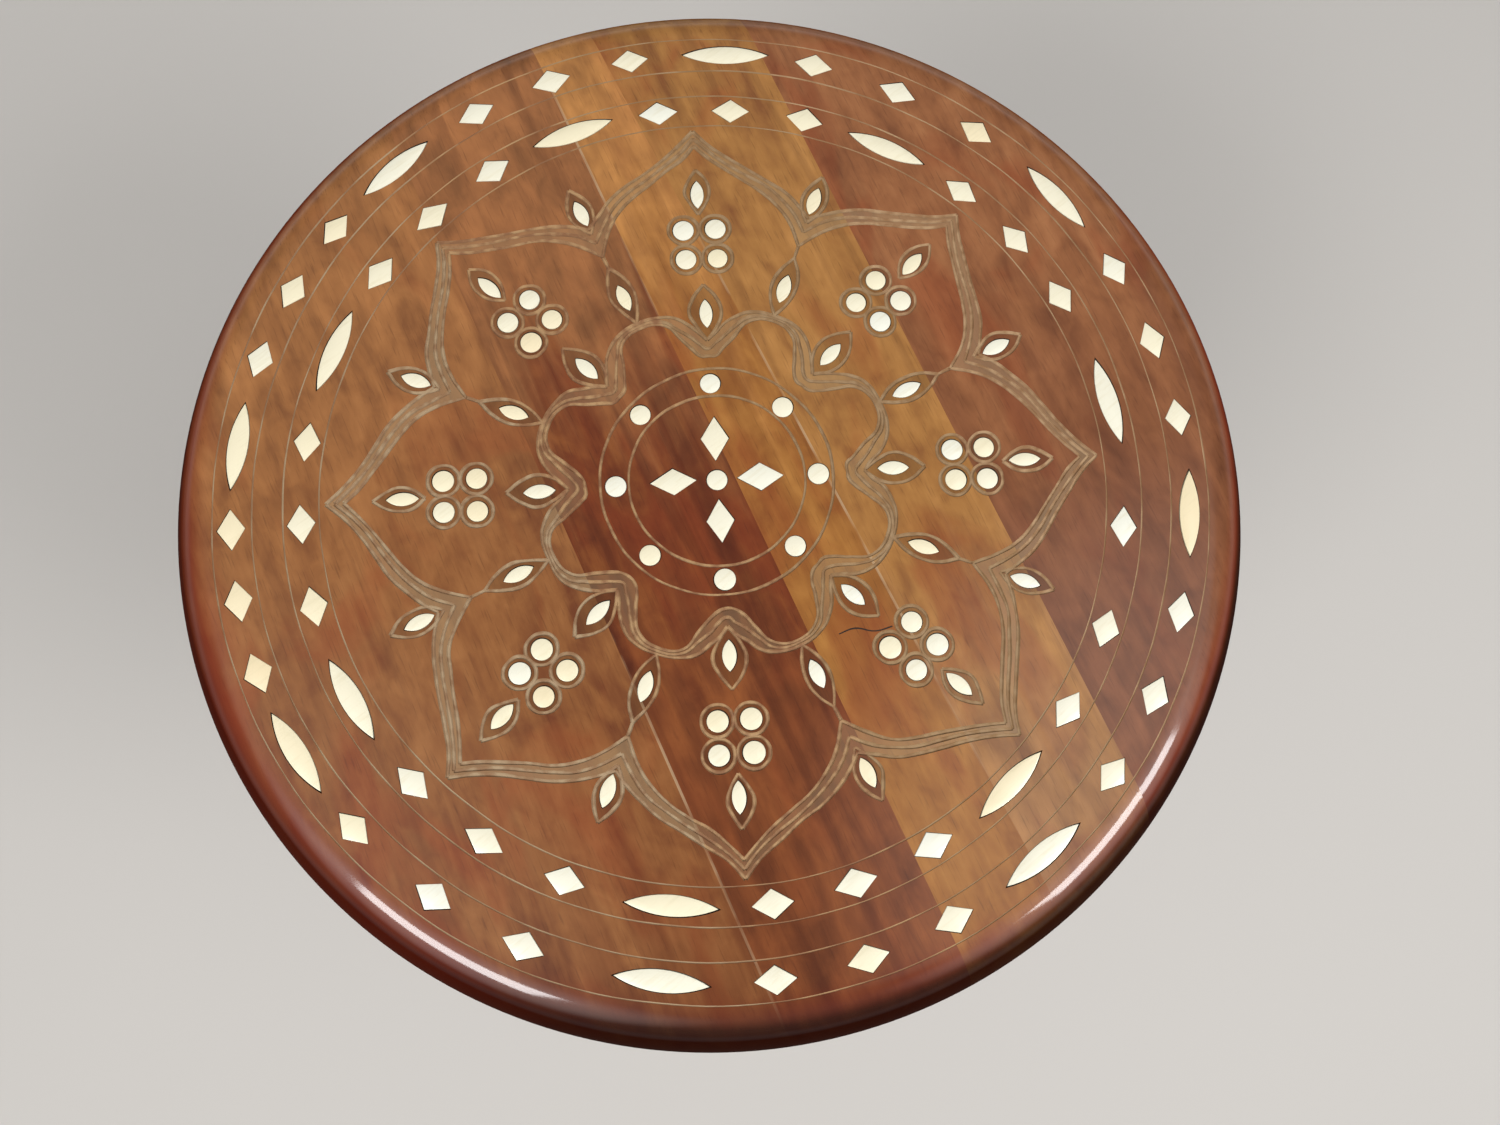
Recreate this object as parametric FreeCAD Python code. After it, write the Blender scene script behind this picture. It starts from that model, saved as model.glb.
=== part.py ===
"""Round pedestal side table: a five-board inlaid top on a turned column with three dovetailed legs.

Millimetres, +Z up. The origin is on the floor, on the column's axis, and a petal of the inlaid flower
points along +X.
"""
import FreeCAD
import Part
import math
import os

from FreeCAD import Vector

UP = Vector(0, 0, 1)
CENTRE = Vector(0, 0, 0)
TANGENT_TURN = 90.0

# Overall sizes
TABLE_HEIGHT = 500.0
TOP_RADIUS = 190.0
TOP_THICKNESS = 25.0

# Rim: a wide soft round above its widest line, and a smaller round below it
RIM_ROUND_WIDTH = 16.0
RIM_ROUND_DEPTH = 15.0
RIM_UNDER_ROUND = 8.0

# Boards: the grain's direction, the first joint's distance from the middle, and the widths after it
GRAIN_TURN = 110.5
FIRST_JOINT_DISTANCE = 55.0
SECOND_BOARD_WIDTH = 61.0
THIRD_BOARD_WIDTH = 29.0
FOURTH_BOARD_WIDTH = 49.0
THIRD_JOINT_SKEW = 2.1

# Inlay pieces
INLAY_THICKNESS = 2.0
INLAY_CLEARANCE = 0.1
DOT_DIAMETER = 7.4
CENTRE_DIAMOND_COUNT = 4
CENTRE_DIAMOND_LENGTH = 16.0
CENTRE_DIAMOND_WIDTH = 9.8
CENTRE_GAP = 3.4
LEAF_LENGTH = 11.0
LEAF_WIDTH = 4.8
DIAMOND_LENGTH = 14.2
DIAMOND_WIDTH = 9.4
LENS_LENGTH = 31.0
LENS_WIDTH = 7.0

# Two borders, set in from the edge of the flat, with lenses spaced by eye
BORDER_MARGIN = 7.6
BORDER_PITCH = 23.3
OUTER_LENS_ANGLES = (37.0, 85.0, 131.0, 172.0, 210.0, 260.0, 306.0, 352.0)
INNER_LENS_ANGLES = (8.0, 60.0, 108.0, 157.0, 208.0, 260.0, 309.0)
# Diamonds as shares of the gap between two lenses. Uneven gaps are named by the lens before them
DIAMOND_STEPS = (0.27, 0.5, 0.73)
OUTER_UNEVEN_STEPS = {37.0: (0.28, 0.52, 0.76), 210.0: (0.22, 0.455, 0.685)}
INNER_UNEVEN_STEPS = {8.0: (0.33, 0.54, 0.745), 309.0: (0.22, 0.435, 0.685)}

# Flower: its field ends short of the inner border, and its rings are shares of the field's radius
PETAL_COUNT = 8
FLOWER_MARGIN = 7.8
RING_DOT_SHARE = 0.263
BASE_LEAF_SHARE = 0.457
INNER_JUNCTION_SHARE = 0.558
CLUSTER_SHARE = 0.657
TIP_LEAF_SHARE = 0.802
OUTER_JUNCTION_SHARE = 0.828
CLUSTER_PITCH = 11.3

# Wood screws with countersunk heads
SCREW_SHANK_RADIUS = 2.0
SCREW_HEAD_RADIUS = 4.0
SCREW_POINT = 4.0
SCREW_BITE = 12.0
SCREW_CLEARANCE = 0.1
DRIVER_SLOT_WIDTH = 1.0
DRIVER_SLOT_DEPTH = 0.8

# Block and bearers under the boards
BLOCK_OVERHANG = 16.0
BLOCK_THICKNESS = 22.0
BLOCK_EDGE_ROUND = 6.0
BLOCK_SCREW_COUNT = 4
BLOCK_SCREW_TURN = 20.0
BEARER_GAP = 5.0
BEARER_RIM_INSET = 24.0
BEARER_WIDTH = 28.0
BEARER_THICKNESS = 20.0
BEARER_END_SLOPE = 12.0

# Column, from its hub up to the tenon
HUB_BOTTOM = 92.0
HUB_RADIUS = 42.0
HUB_ABOVE_LEGS = 16.0
HUB_EDGE_ROUND = 5.0
LOWER_BEAD_RADIUS = 35.0
LOWER_BEAD_HEIGHT = 12.0
VASE_FOOT_RADIUS = 24.0
VASE_BELLY_RADIUS = 35.0
VASE_NECK_RADIUS = 15.5
UPPER_BEAD_RADIUS = 25.0
UPPER_BEAD_HEIGHT = 10.0
CAPITAL_HEIGHT = 34.0
COLLAR_RADIUS = 40.0
COLLAR_HEIGHT = 10.0
FILLET_STEP = 3.0
TENON_RADIUS = 18.0
TENON_END_GAP = 1.0
TENON_CLEARANCE = 0.1

# Legs
LEG_COUNT = 3
LEG_START_TURN = 30.0
LEG_REACH = 186.0
LEG_THICKNESS = 28.0
LEG_ROOT_HEIGHT = 80.0
LEG_EDGE_ROUND = 5.0
SHOULDER_CLEARANCE = 0.1
TOE_RADIUS = 12.0
FOOT_LENGTH = 36.0
DOVETAIL_DEPTH = 14.0
DOVETAIL_NECK = 12.0
DOVETAIL_WIDE = 18.0
DOVETAIL_TOP_SHOULDER = 6.0
DOVETAIL_CLEARANCE = 0.1

# Steel plate under the hub and the legs
PLATE_THICKNESS = 3.0
PLATE_HUB_RADIUS = 30.0
PLATE_ARM_WIDTH = 20.0
PLATE_ARM_REACH = 34.0
PLATE_HUB_SCREW_RADIUS = 16.0

# Felt pads
PAD_MARGIN = 3.0
PAD_THICKNESS = 4.0

# Heights and radii that follow from the sizes above
TOP_UNDERSIDE = TABLE_HEIGHT - TOP_THICKNESS
BLOCK_UNDERSIDE = TOP_UNDERSIDE - BLOCK_THICKNESS
BEARER_UNDERSIDE = TOP_UNDERSIDE - BEARER_THICKNESS
FLAT_RADIUS = TOP_RADIUS - RIM_ROUND_WIDTH
OUTER_BORDER_RADIUS = FLAT_RADIUS - BORDER_MARGIN
INNER_BORDER_RADIUS = OUTER_BORDER_RADIUS - BORDER_PITCH
FLOWER_RADIUS = INNER_BORDER_RADIUS - FLOWER_MARGIN
FIRST_JOINT = -FIRST_JOINT_DISTANCE
SECOND_JOINT = FIRST_JOINT + SECOND_BOARD_WIDTH
THIRD_JOINT = SECOND_JOINT + THIRD_BOARD_WIDTH
FOURTH_JOINT = THIRD_JOINT + FOURTH_BOARD_WIDTH
BLOCK_RADIUS = COLLAR_RADIUS + BLOCK_OVERHANG
BLOCK_SCREW_RADIUS = COLLAR_RADIUS + (BLOCK_OVERHANG - BLOCK_EDGE_ROUND) / 2
BEARER_OFFSET = BLOCK_RADIUS + BEARER_GAP + BEARER_WIDTH / 2
BEARER_FAR_SIDE = BEARER_OFFSET + BEARER_WIDTH / 2
BEARER_HALF_LENGTH = math.sqrt((TOP_RADIUS - BEARER_RIM_INSET) ** 2 - BEARER_FAR_SIDE ** 2)
HUB_TOP = HUB_BOTTOM + LEG_ROOT_HEIGHT + HUB_ABOVE_LEGS
ARM_END = HUB_RADIUS + PLATE_ARM_REACH
PAD_CENTRE = LEG_REACH - (FOOT_LENGTH + TOE_RADIUS) / 2
PAD_RADIUS = (FOOT_LENGTH - TOE_RADIUS) / 2 - PAD_MARGIN

# Heights of the vase's belly, waist and neck, as shares of its rise
VASE_BELLY_SHARE = 0.32
VASE_WAIST_SHARE = 0.60
VASE_NECK_SHARE = 0.88

# The two edges of a leg between their ends, as shares of its run and of its rise
LEG_UPPER_CURVE = ((0.24, 0.955), (0.49, 0.77), (0.67, 0.47), (0.80, 0.24))
LEG_LOWER_CURVE = ((0.16, 0.30), (0.39, 0.66), (0.70, 0.91))
LEG_HEEL_LEAN = 0.5


def polar(radius, angle, height=0.0):
    """The point at this radius, angle in degrees and height."""
    turn = math.radians(angle)
    return Vector(radius * math.cos(turn), radius * math.sin(turn), height)


def moved(shape, angle, place):
    """A copy of a shape, turned about Z through the origin and then moved to a place."""
    copy = shape.copy()
    copy.rotate(CENTRE, UP, angle)
    copy.translate(place)
    return copy


def soft_corner(start, corner, end):
    """A quarter ellipse from start to end, tangent to the lines that meet at the corner."""
    curve = Part.BezierCurve()
    curve.setPoles([start, corner, end])
    curve.setWeight(2, math.sqrt(0.5))
    return curve.toShape()


def line(start, end):
    """A straight edge."""
    return Part.LineSegment(start, end).toShape()


def bulge(low_radius, low, high_radius, high, far_radius):
    """A turned bead: an arc from one radius and height to another, over its widest radius."""
    middle = Vector(far_radius, 0, (low + high) / 2)
    return Part.Arc(Vector(low_radius, 0, low), middle, Vector(high_radius, 0, high)).toShape()


def turned(edges):
    """The solid that a closed outline in the XZ plane makes when it is turned about Z."""
    face = Part.Face(Part.Wire(Part.__sortEdges__(edges)))
    return Part.Solid(face.revolve(CENTRE, UP, 360))


def dot_outline(length, width):
    """A round outline: length and width are both its diameter."""
    return Part.Wire(Part.makeCircle((length + width) / 4))


def diamond_outline(length, width):
    """A rhombus with its long diagonal along X."""
    tip = Vector(length / 2, 0, 0)
    side = Vector(0, width / 2, 0)
    return Part.makePolygon([tip, side, -tip, -side, tip])


def lens_outline(length, width):
    """Two arcs that meet in points at the ends of the X axis."""
    right = Vector(length / 2, 0, 0)
    left = Vector(-length / 2, 0, 0)
    far = Part.Arc(right, Vector(0, width / 2, 0), left).toShape()
    near = Part.Arc(left, Vector(0, -width / 2, 0), right).toShape()
    return Part.Wire([far, near])


def around(count, radius, start, turn):
    """Evenly spaced places on a circle: radius, angle, and the piece's own turn from the radius."""
    return [(radius, start + 360.0 * step / count, turn) for step in range(count)]


def diamond_places(radius, lens_angles, uneven):
    """Places of the three diamonds between each lens of a border and the next."""
    places = []
    for index, first in enumerate(lens_angles):
        after = lens_angles[(index + 1) % len(lens_angles)]
        gap = (after - first) % 360.0
        steps = uneven.get(first, DIAMOND_STEPS)
        places += [(radius, first + gap * step, TANGENT_TURN) for step in steps]
    return places


def cluster_places():
    """Places of the four dots of each petal, in a square that faces the middle."""
    half = CLUSTER_PITCH / 2
    places = []
    for _, angle, _ in around(PETAL_COUNT, 1.0, 0.0, 0.0):
        for along in (-half, half):
            for aside in (-half, half):
                reach = CLUSTER_SHARE * FLOWER_RADIUS + along
                swing = math.degrees(math.atan2(aside, reach))
                places.append((math.hypot(reach, aside), angle + swing, 0.0))
    return places


def inlay_groups():
    """Every group of inlays: node name, outline, length, width and places."""
    dot = (dot_outline, DOT_DIAMETER, DOT_DIAMETER)
    leaf = (lens_outline, LEAF_LENGTH, LEAF_WIDTH)
    lens = (lens_outline, LENS_LENGTH, LENS_WIDTH)
    diamond = (diamond_outline, DIAMOND_LENGTH, DIAMOND_WIDTH)
    centre_diamond = (diamond_outline, CENTRE_DIAMOND_LENGTH, CENTRE_DIAMOND_WIDTH)
    centre_reach = DOT_DIAMETER / 2 + CENTRE_GAP + CENTRE_DIAMOND_LENGTH / 2
    between = 180.0 / PETAL_COUNT
    inner_lenses = [(INNER_BORDER_RADIUS, angle, TANGENT_TURN) for angle in INNER_LENS_ANGLES]
    outer_lenses = [(OUTER_BORDER_RADIUS, angle, TANGENT_TURN) for angle in OUTER_LENS_ANGLES]
    inner_diamonds = diamond_places(INNER_BORDER_RADIUS, INNER_LENS_ANGLES, INNER_UNEVEN_STEPS)
    outer_diamonds = diamond_places(OUTER_BORDER_RADIUS, OUTER_LENS_ANGLES, OUTER_UNEVEN_STEPS)

    def petal_ring(share, start):
        return around(PETAL_COUNT, share * FLOWER_RADIUS, start, 0.0)

    return [
        ("centre_dot_inlay", dot, [(0.0, 0.0, 0.0)]),
        ("centre_diamond_inlays", centre_diamond, around(CENTRE_DIAMOND_COUNT, centre_reach, 0.0, 0.0)),
        ("ring_dot_inlays", dot, petal_ring(RING_DOT_SHARE, 0.0)),
        ("petal_dot_inlays", dot, cluster_places()),
        ("petal_tip_leaf_inlays", leaf, petal_ring(TIP_LEAF_SHARE, 0.0)),
        ("petal_base_leaf_inlays", leaf, petal_ring(BASE_LEAF_SHARE, 0.0)),
        ("inner_junction_leaf_inlays", leaf, petal_ring(INNER_JUNCTION_SHARE, between)),
        ("outer_junction_leaf_inlays", leaf, petal_ring(OUTER_JUNCTION_SHARE, between)),
        ("inner_border_lens_inlays", lens, inner_lenses),
        ("inner_border_diamond_inlays", diamond, inner_diamonds),
        ("outer_border_lens_inlays", lens, outer_lenses),
        ("outer_border_diamond_inlays", diamond, outer_diamonds),
    ]


def inlay_solids(kind, places, grow, overshoot):
    """Prisms for one group, grown all round by a clearance and standing above the top by the overshoot."""
    outline, length, width = kind
    face = Part.Face(outline(length + 2 * grow, width + 2 * grow))
    prism = face.extrude(Vector(0, 0, INLAY_THICKNESS + overshoot))
    low = TABLE_HEIGHT - INLAY_THICKNESS
    return [moved(prism, angle + turn, polar(radius, angle, low)) for radius, angle, turn in places]


def screw(length, grow=0.0):
    """A countersunk screw that points up from z 0, or with grow the hole that clears it."""
    head = SCREW_HEAD_RADIUS + grow
    shank = SCREW_SHANK_RADIUS + grow
    cone = SCREW_HEAD_RADIUS - SCREW_SHANK_RADIUS
    end = length + grow
    shoulder = end - SCREW_POINT
    corners = [(0, 0), (head, 0), (shank, cone), (shank, shoulder), (0, end), (0, 0)]
    points = [Vector(radius, 0, height) for radius, height in corners]
    body = turned([line(start, stop) for start, stop in zip(points, points[1:])])
    if grow:
        return body
    slot = Part.makeBox(2 * head, DRIVER_SLOT_WIDTH, DRIVER_SLOT_DEPTH)
    slot.translate(Vector(-head, -DRIVER_SLOT_WIDTH / 2, 0))
    return body.cut(slot)


def board_screw_places():
    """Where the bearers' screws go: one in the middle of each board's width, on each bearer."""
    middles = [
        (FIRST_JOINT - BEARER_HALF_LENGTH) / 2,
        (FIRST_JOINT + SECOND_JOINT) / 2,
        (SECOND_JOINT + THIRD_JOINT) / 2,
        (THIRD_JOINT + FOURTH_JOINT) / 2,
        (FOURTH_JOINT + BEARER_HALF_LENGTH) / 2,
    ]
    return [[Vector(across, side * BEARER_OFFSET, 0) for across in middles] for side in (-1, 1)]


def grain_frame(shape, height):
    """A shape drawn with the grain along Y, turned to the real grain and raised to a height."""
    return moved(shape, GRAIN_TURN - 90.0, Vector(0, 0, height))


def bearer_screws(grow=0.0):
    """The screws of both bearers, or their clearance holes."""
    one = screw(BEARER_THICKNESS + SCREW_BITE, grow)
    places = [place for row in board_screw_places() for place in row]
    return [grain_frame(moved(one, 0.0, place), BEARER_UNDERSIDE) for place in places]


def block_screws(grow=0.0):
    """The screws of the block, or their clearance holes."""
    one = screw(BLOCK_THICKNESS + SCREW_BITE, grow)
    circle = around(BLOCK_SCREW_COUNT, BLOCK_SCREW_RADIUS, BLOCK_SCREW_TURN, 0.0)
    places = [polar(radius, angle) for radius, angle, _ in circle]
    return [grain_frame(moved(one, 0.0, place), BLOCK_UNDERSIDE) for place in places]


def top_disc():
    """The round top before it is parted into boards."""
    high = TABLE_HEIGHT
    low = TOP_UNDERSIDE
    widest = high - RIM_ROUND_DEPTH
    under = min(RIM_UNDER_ROUND, TOP_THICKNESS - RIM_ROUND_DEPTH)
    shoulder = Vector(FLAT_RADIUS, 0, high)
    side = Vector(TOP_RADIUS, 0, widest)
    heel = Vector(TOP_RADIUS, 0, low + under)
    sole = Vector(TOP_RADIUS - under, 0, low)
    edges = [line(Vector(0, 0, high), shoulder), soft_corner(shoulder, Vector(TOP_RADIUS, 0, high), side)]
    if side.distanceToPoint(heel) > 0:
        edges.append(line(side, heel))
    edges.append(soft_corner(heel, Vector(TOP_RADIUS, 0, low), sole))
    edges.append(line(sole, Vector(0, 0, low)))
    edges.append(line(Vector(0, 0, low), Vector(0, 0, high)))
    return turned(edges)


def board_slabs():
    """A straight-sided slab for each board, from joint to joint."""
    reach = 2 * TOP_RADIUS
    tall = 3 * TOP_THICKNESS
    skew = math.tan(math.radians(THIRD_JOINT_SKEW)) * reach
    joints = [(FIRST_JOINT, 0), (SECOND_JOINT, 0), (THIRD_JOINT, skew), (FOURTH_JOINT, 0)]
    joints = [(-reach, 0)] + joints + [(reach, 0)]
    slabs = []
    for (left, left_skew), (right, right_skew) in zip(joints, joints[1:]):
        corners = [
            Vector(left + left_skew, -reach, 0),
            Vector(right + right_skew, -reach, 0),
            Vector(right - right_skew, reach, 0),
            Vector(left - left_skew, reach, 0),
        ]
        slab = Part.Face(Part.makePolygon(corners + corners[:1])).extrude(Vector(0, 0, tall))
        slabs.append(grain_frame(slab, TOP_UNDERSIDE - TOP_THICKNESS))
    return slabs


def top_boards():
    """The five boards, with the pockets for the inlay and the holes for the screws."""
    disc = top_disc()
    cutters = bearer_screws(SCREW_CLEARANCE) + block_screws(SCREW_CLEARANCE)
    for _, kind, places in inlay_groups():
        cutters += inlay_solids(kind, places, INLAY_CLEARANCE, INLAY_THICKNESS)
    boards = []
    for slab in board_slabs():
        board = disc.common(slab)
        nearby = [cutter for cutter in cutters if cutter.BoundBox.intersect(board.BoundBox)]
        boards.append(board.cut(nearby))
    return boards


def bearers():
    """Two battens across the grain, with sloped ends and countersunk holes."""
    half = BEARER_HALF_LENGTH
    outline = [
        Vector(-half, 0, BEARER_THICKNESS),
        Vector(half, 0, BEARER_THICKNESS),
        Vector(half, 0, BEARER_THICKNESS / 2),
        Vector(half - BEARER_END_SLOPE, 0, 0),
        Vector(-half + BEARER_END_SLOPE, 0, 0),
        Vector(-half, 0, BEARER_THICKNESS / 2),
    ]
    batten = Part.Face(Part.makePolygon(outline + outline[:1])).extrude(Vector(0, BEARER_WIDTH, 0))
    holes = bearer_screws(SCREW_CLEARANCE)
    pieces = []
    for side in (-1, 1):
        place = Vector(0, side * BEARER_OFFSET - BEARER_WIDTH / 2, 0)
        pieces.append(grain_frame(moved(batten, 0.0, place), BEARER_UNDERSIDE).cut(holes))
    return pieces


def column_block():
    """The round block that holds the column's tenon."""
    block = Part.makeCylinder(BLOCK_RADIUS, BLOCK_THICKNESS, Vector(0, 0, BLOCK_UNDERSIDE))
    middle = BLOCK_UNDERSIDE + BLOCK_THICKNESS / 2
    rims = [edge for edge in block.Edges if edge.Closed and edge.BoundBox.ZMax < middle]
    block = block.makeFillet(BLOCK_EDGE_ROUND, rims)
    bore = Part.makeCylinder(TENON_RADIUS + TENON_CLEARANCE, BLOCK_THICKNESS, Vector(0, 0, BLOCK_UNDERSIDE))
    return block.cut([bore] + block_screws(SCREW_CLEARANCE))


def column_edges():
    """The column's outline from the axis under the hub up to the axis over the tenon."""
    bead_low = HUB_TOP + FILLET_STEP
    bead_high = bead_low + LOWER_BEAD_HEIGHT
    vase_low = bead_high + FILLET_STEP
    collar_low = BLOCK_UNDERSIDE - COLLAR_HEIGHT
    capital_low = collar_low - CAPITAL_HEIGHT
    upper_bead_low = capital_low - UPPER_BEAD_HEIGHT
    vase_rise = upper_bead_low - vase_low
    step_radius = VASE_FOOT_RADIUS + FILLET_STEP
    capital_radius = COLLAR_RADIUS - FILLET_STEP
    tenon_top = TOP_UNDERSIDE - TENON_END_GAP
    vase = Part.BSplineCurve()
    vase_points = [
        Vector(VASE_FOOT_RADIUS, 0, vase_low),
        Vector(VASE_BELLY_RADIUS, 0, vase_low + VASE_BELLY_SHARE * vase_rise),
        Vector((VASE_BELLY_RADIUS + VASE_NECK_RADIUS) / 2, 0, vase_low + VASE_WAIST_SHARE * vase_rise),
        Vector(VASE_NECK_RADIUS, 0, vase_low + VASE_NECK_SHARE * vase_rise),
        Vector(VASE_NECK_RADIUS + FILLET_STEP, 0, upper_bead_low),
    ]
    vase.interpolate(vase_points)
    capital_foot = Vector(VASE_NECK_RADIUS + FILLET_STEP, 0, capital_low)
    capital_corner = Vector(VASE_NECK_RADIUS + FILLET_STEP, 0, collar_low)
    capital_head = Vector(capital_radius, 0, collar_low)
    hub_shoulder = Vector(HUB_RADIUS, 0, HUB_TOP - HUB_EDGE_ROUND)
    hub_rim = Vector(HUB_RADIUS - HUB_EDGE_ROUND, 0, HUB_TOP)
    return [
        line(Vector(0, 0, HUB_BOTTOM), Vector(HUB_RADIUS, 0, HUB_BOTTOM)),
        line(Vector(HUB_RADIUS, 0, HUB_BOTTOM), hub_shoulder),
        soft_corner(hub_shoulder, Vector(HUB_RADIUS, 0, HUB_TOP), hub_rim),
        line(hub_rim, Vector(step_radius, 0, HUB_TOP)),
        line(Vector(step_radius, 0, HUB_TOP), Vector(step_radius, 0, bead_low)),
        bulge(step_radius, bead_low, step_radius, bead_high, LOWER_BEAD_RADIUS),
        line(Vector(step_radius, 0, bead_high), Vector(step_radius, 0, vase_low)),
        line(Vector(step_radius, 0, vase_low), vase_points[0]),
        vase.toShape(),
        bulge(vase_points[-1].x, upper_bead_low, capital_foot.x, capital_low, UPPER_BEAD_RADIUS),
        soft_corner(capital_foot, capital_corner, capital_head),
        bulge(capital_radius, collar_low, capital_radius, BLOCK_UNDERSIDE, COLLAR_RADIUS),
        line(Vector(capital_radius, 0, BLOCK_UNDERSIDE), Vector(TENON_RADIUS, 0, BLOCK_UNDERSIDE)),
        line(Vector(TENON_RADIUS, 0, BLOCK_UNDERSIDE), Vector(TENON_RADIUS, 0, tenon_top)),
        line(Vector(TENON_RADIUS, 0, tenon_top), Vector(0, 0, tenon_top)),
        line(Vector(0, 0, tenon_top), Vector(0, 0, HUB_BOTTOM)),
    ]


def dovetail(grow):
    """The tail along +X, as deep in the hub as its root is in the leg, grown all round by a clearance."""
    inner = HUB_RADIUS - DOVETAIL_DEPTH - grow
    reach = HUB_RADIUS + DOVETAIL_DEPTH
    wide = DOVETAIL_WIDE / 2 + grow
    neck = DOVETAIL_NECK / 2 + grow
    low = HUB_BOTTOM
    corners = [
        Vector(inner, -wide, low),
        Vector(HUB_RADIUS, -neck, low),
        Vector(reach, -neck, low),
        Vector(reach, neck, low),
        Vector(HUB_RADIUS, neck, low),
        Vector(inner, wide, low),
    ]
    tall = LEG_ROOT_HEIGHT - DOVETAIL_TOP_SHOULDER + grow
    return Part.Face(Part.makePolygon(corners + corners[:1])).extrude(Vector(0, 0, tall))


def leg_turns():
    """The legs' directions, in degrees."""
    return [LEG_START_TURN + 360.0 * index / LEG_COUNT for index in range(LEG_COUNT)]


def column():
    """The turned column with its dovetail sockets and the holes for the plate's screws."""
    socket = dovetail(DOVETAIL_CLEARANCE)
    cutters = [moved(socket, turn, CENTRE) for turn in leg_turns()]
    return turned(column_edges()).cut(cutters + plate_screws(SCREW_CLEARANCE))


def leg_outline():
    """The side of a leg along +X: the flat over the plate's arm, the two curved edges and the foot."""
    root_top = HUB_BOTTOM + LEG_ROOT_HEIGHT
    inside = HUB_RADIUS - DOVETAIL_DEPTH
    run = LEG_REACH - HUB_RADIUS
    rise = root_top - PAD_THICKNESS
    heel = Vector(LEG_REACH - FOOT_LENGTH, 0, PAD_THICKNESS)
    sole = Vector(LEG_REACH - TOE_RADIUS, 0, PAD_THICKNESS)
    tip = Vector(LEG_REACH, 0, PAD_THICKNESS + TOE_RADIUS)
    toe_top = Vector(LEG_REACH - TOE_RADIUS, 0, PAD_THICKNESS + 2 * TOE_RADIUS)
    arm_end = Vector(ARM_END, 0, HUB_BOTTOM)
    root = Vector(HUB_RADIUS, 0, root_top)
    upper_points = [Vector(HUB_RADIUS + x * run, 0, PAD_THICKNESS + z * rise) for x, z in LEG_UPPER_CURVE]
    lower_run = arm_end.x - heel.x
    lower_rise = arm_end.z - heel.z
    lower_points = [Vector(heel.x + x * lower_run, 0, heel.z + z * lower_rise) for x, z in LEG_LOWER_CURVE]
    outward = Vector(run, 0, 0)
    inward = Vector(lower_run, 0, 0)
    heel_slope = Vector(LEG_HEEL_LEAN * lower_run, 0, lower_rise)
    upper_run = [root] + upper_points + [toe_top]
    upper = Part.BSplineCurve()
    upper.interpolate(Points=upper_run, InitialTangent=outward, FinalTangent=outward)
    under_run = [heel] + lower_points + [arm_end]
    lower = Part.BSplineCurve()
    lower.interpolate(Points=under_run, InitialTangent=heel_slope, FinalTangent=inward)
    edges = [
        line(Vector(inside, 0, root_top), root),
        upper.toShape(),
        Part.Arc(toe_top, tip, sole).toShape(),
        line(sole, heel),
        lower.toShape(),
        line(arm_end, Vector(inside, 0, HUB_BOTTOM)),
        line(Vector(inside, 0, HUB_BOTTOM), Vector(inside, 0, root_top)),
    ]
    return Part.Wire(Part.__sortEdges__(edges))


def leg():
    """One leg along +X, with rounded edges, a shoulder scribed to the hub and a dovetail."""
    face = Part.Face(leg_outline())
    face.translate(Vector(0, -LEG_THICKNESS / 2, 0))
    body = face.extrude(Vector(0, LEG_THICKNESS, 0))
    long_edges = []
    for edge in body.Edges:
        along = edge.BoundBox.YLength < LEG_THICKNESS / 2
        curved = not isinstance(edge.Curve, Part.Line)
        if along and curved:
            long_edges.append(edge)
    body = body.makeFillet(LEG_EDGE_ROUND, long_edges)
    hub = Part.makeCylinder(HUB_RADIUS + SHOULDER_CLEARANCE, TABLE_HEIGHT)
    tail = dovetail(0.0)
    return body.cut(hub).fuse(tail).removeSplitter()


def legs():
    """The legs in their places, with the holes for the plate's screws."""
    holes = plate_screws(SCREW_CLEARANCE)
    one = leg()
    return [moved(one, turn, CENTRE).cut(holes) for turn in leg_turns()]


def plate_screws(grow=0.0):
    """The plate's screws, one into each leg and one into the hub between legs, or their clearance holes."""
    one = screw(PLATE_THICKNESS + SCREW_BITE, grow)
    arm_screw = (HUB_RADIUS + ARM_END) / 2
    low = HUB_BOTTOM - PLATE_THICKNESS
    between = 180.0 / LEG_COUNT
    places = []
    for turn in leg_turns():
        places.append(polar(arm_screw, turn, low))
        places.append(polar(PLATE_HUB_SCREW_RADIUS, turn + between, low))
    return [moved(one, 0.0, place) for place in places]


def spider_plate():
    """The flat steel plate with one round-ended arm under each leg."""
    low = HUB_BOTTOM - PLATE_THICKNESS
    half = PLATE_ARM_WIDTH / 2
    disc = Part.makeCylinder(PLATE_HUB_RADIUS, PLATE_THICKNESS, Vector(0, 0, low))
    bar = Part.makeBox(ARM_END - half, PLATE_ARM_WIDTH, PLATE_THICKNESS, Vector(0, -half, low))
    end = Part.makeCylinder(half, PLATE_THICKNESS, Vector(ARM_END - half, 0, low))
    arms = [moved(shape, turn, CENTRE) for turn in leg_turns() for shape in (bar, end)]
    return disc.fuse(arms).removeSplitter().cut(plate_screws(SCREW_CLEARANCE))


def foot_pads():
    """A felt pad under each foot."""
    pad = Part.makeCylinder(PAD_RADIUS, PAD_THICKNESS)
    return [moved(pad, 0.0, polar(PAD_CENTRE, turn)) for turn in leg_turns()]


def numbered(name, shapes):
    """Node names with a number from 1, each with its shape."""
    return [(f"{name}_{number}", shape) for number, shape in enumerate(shapes, start=1)]


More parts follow.
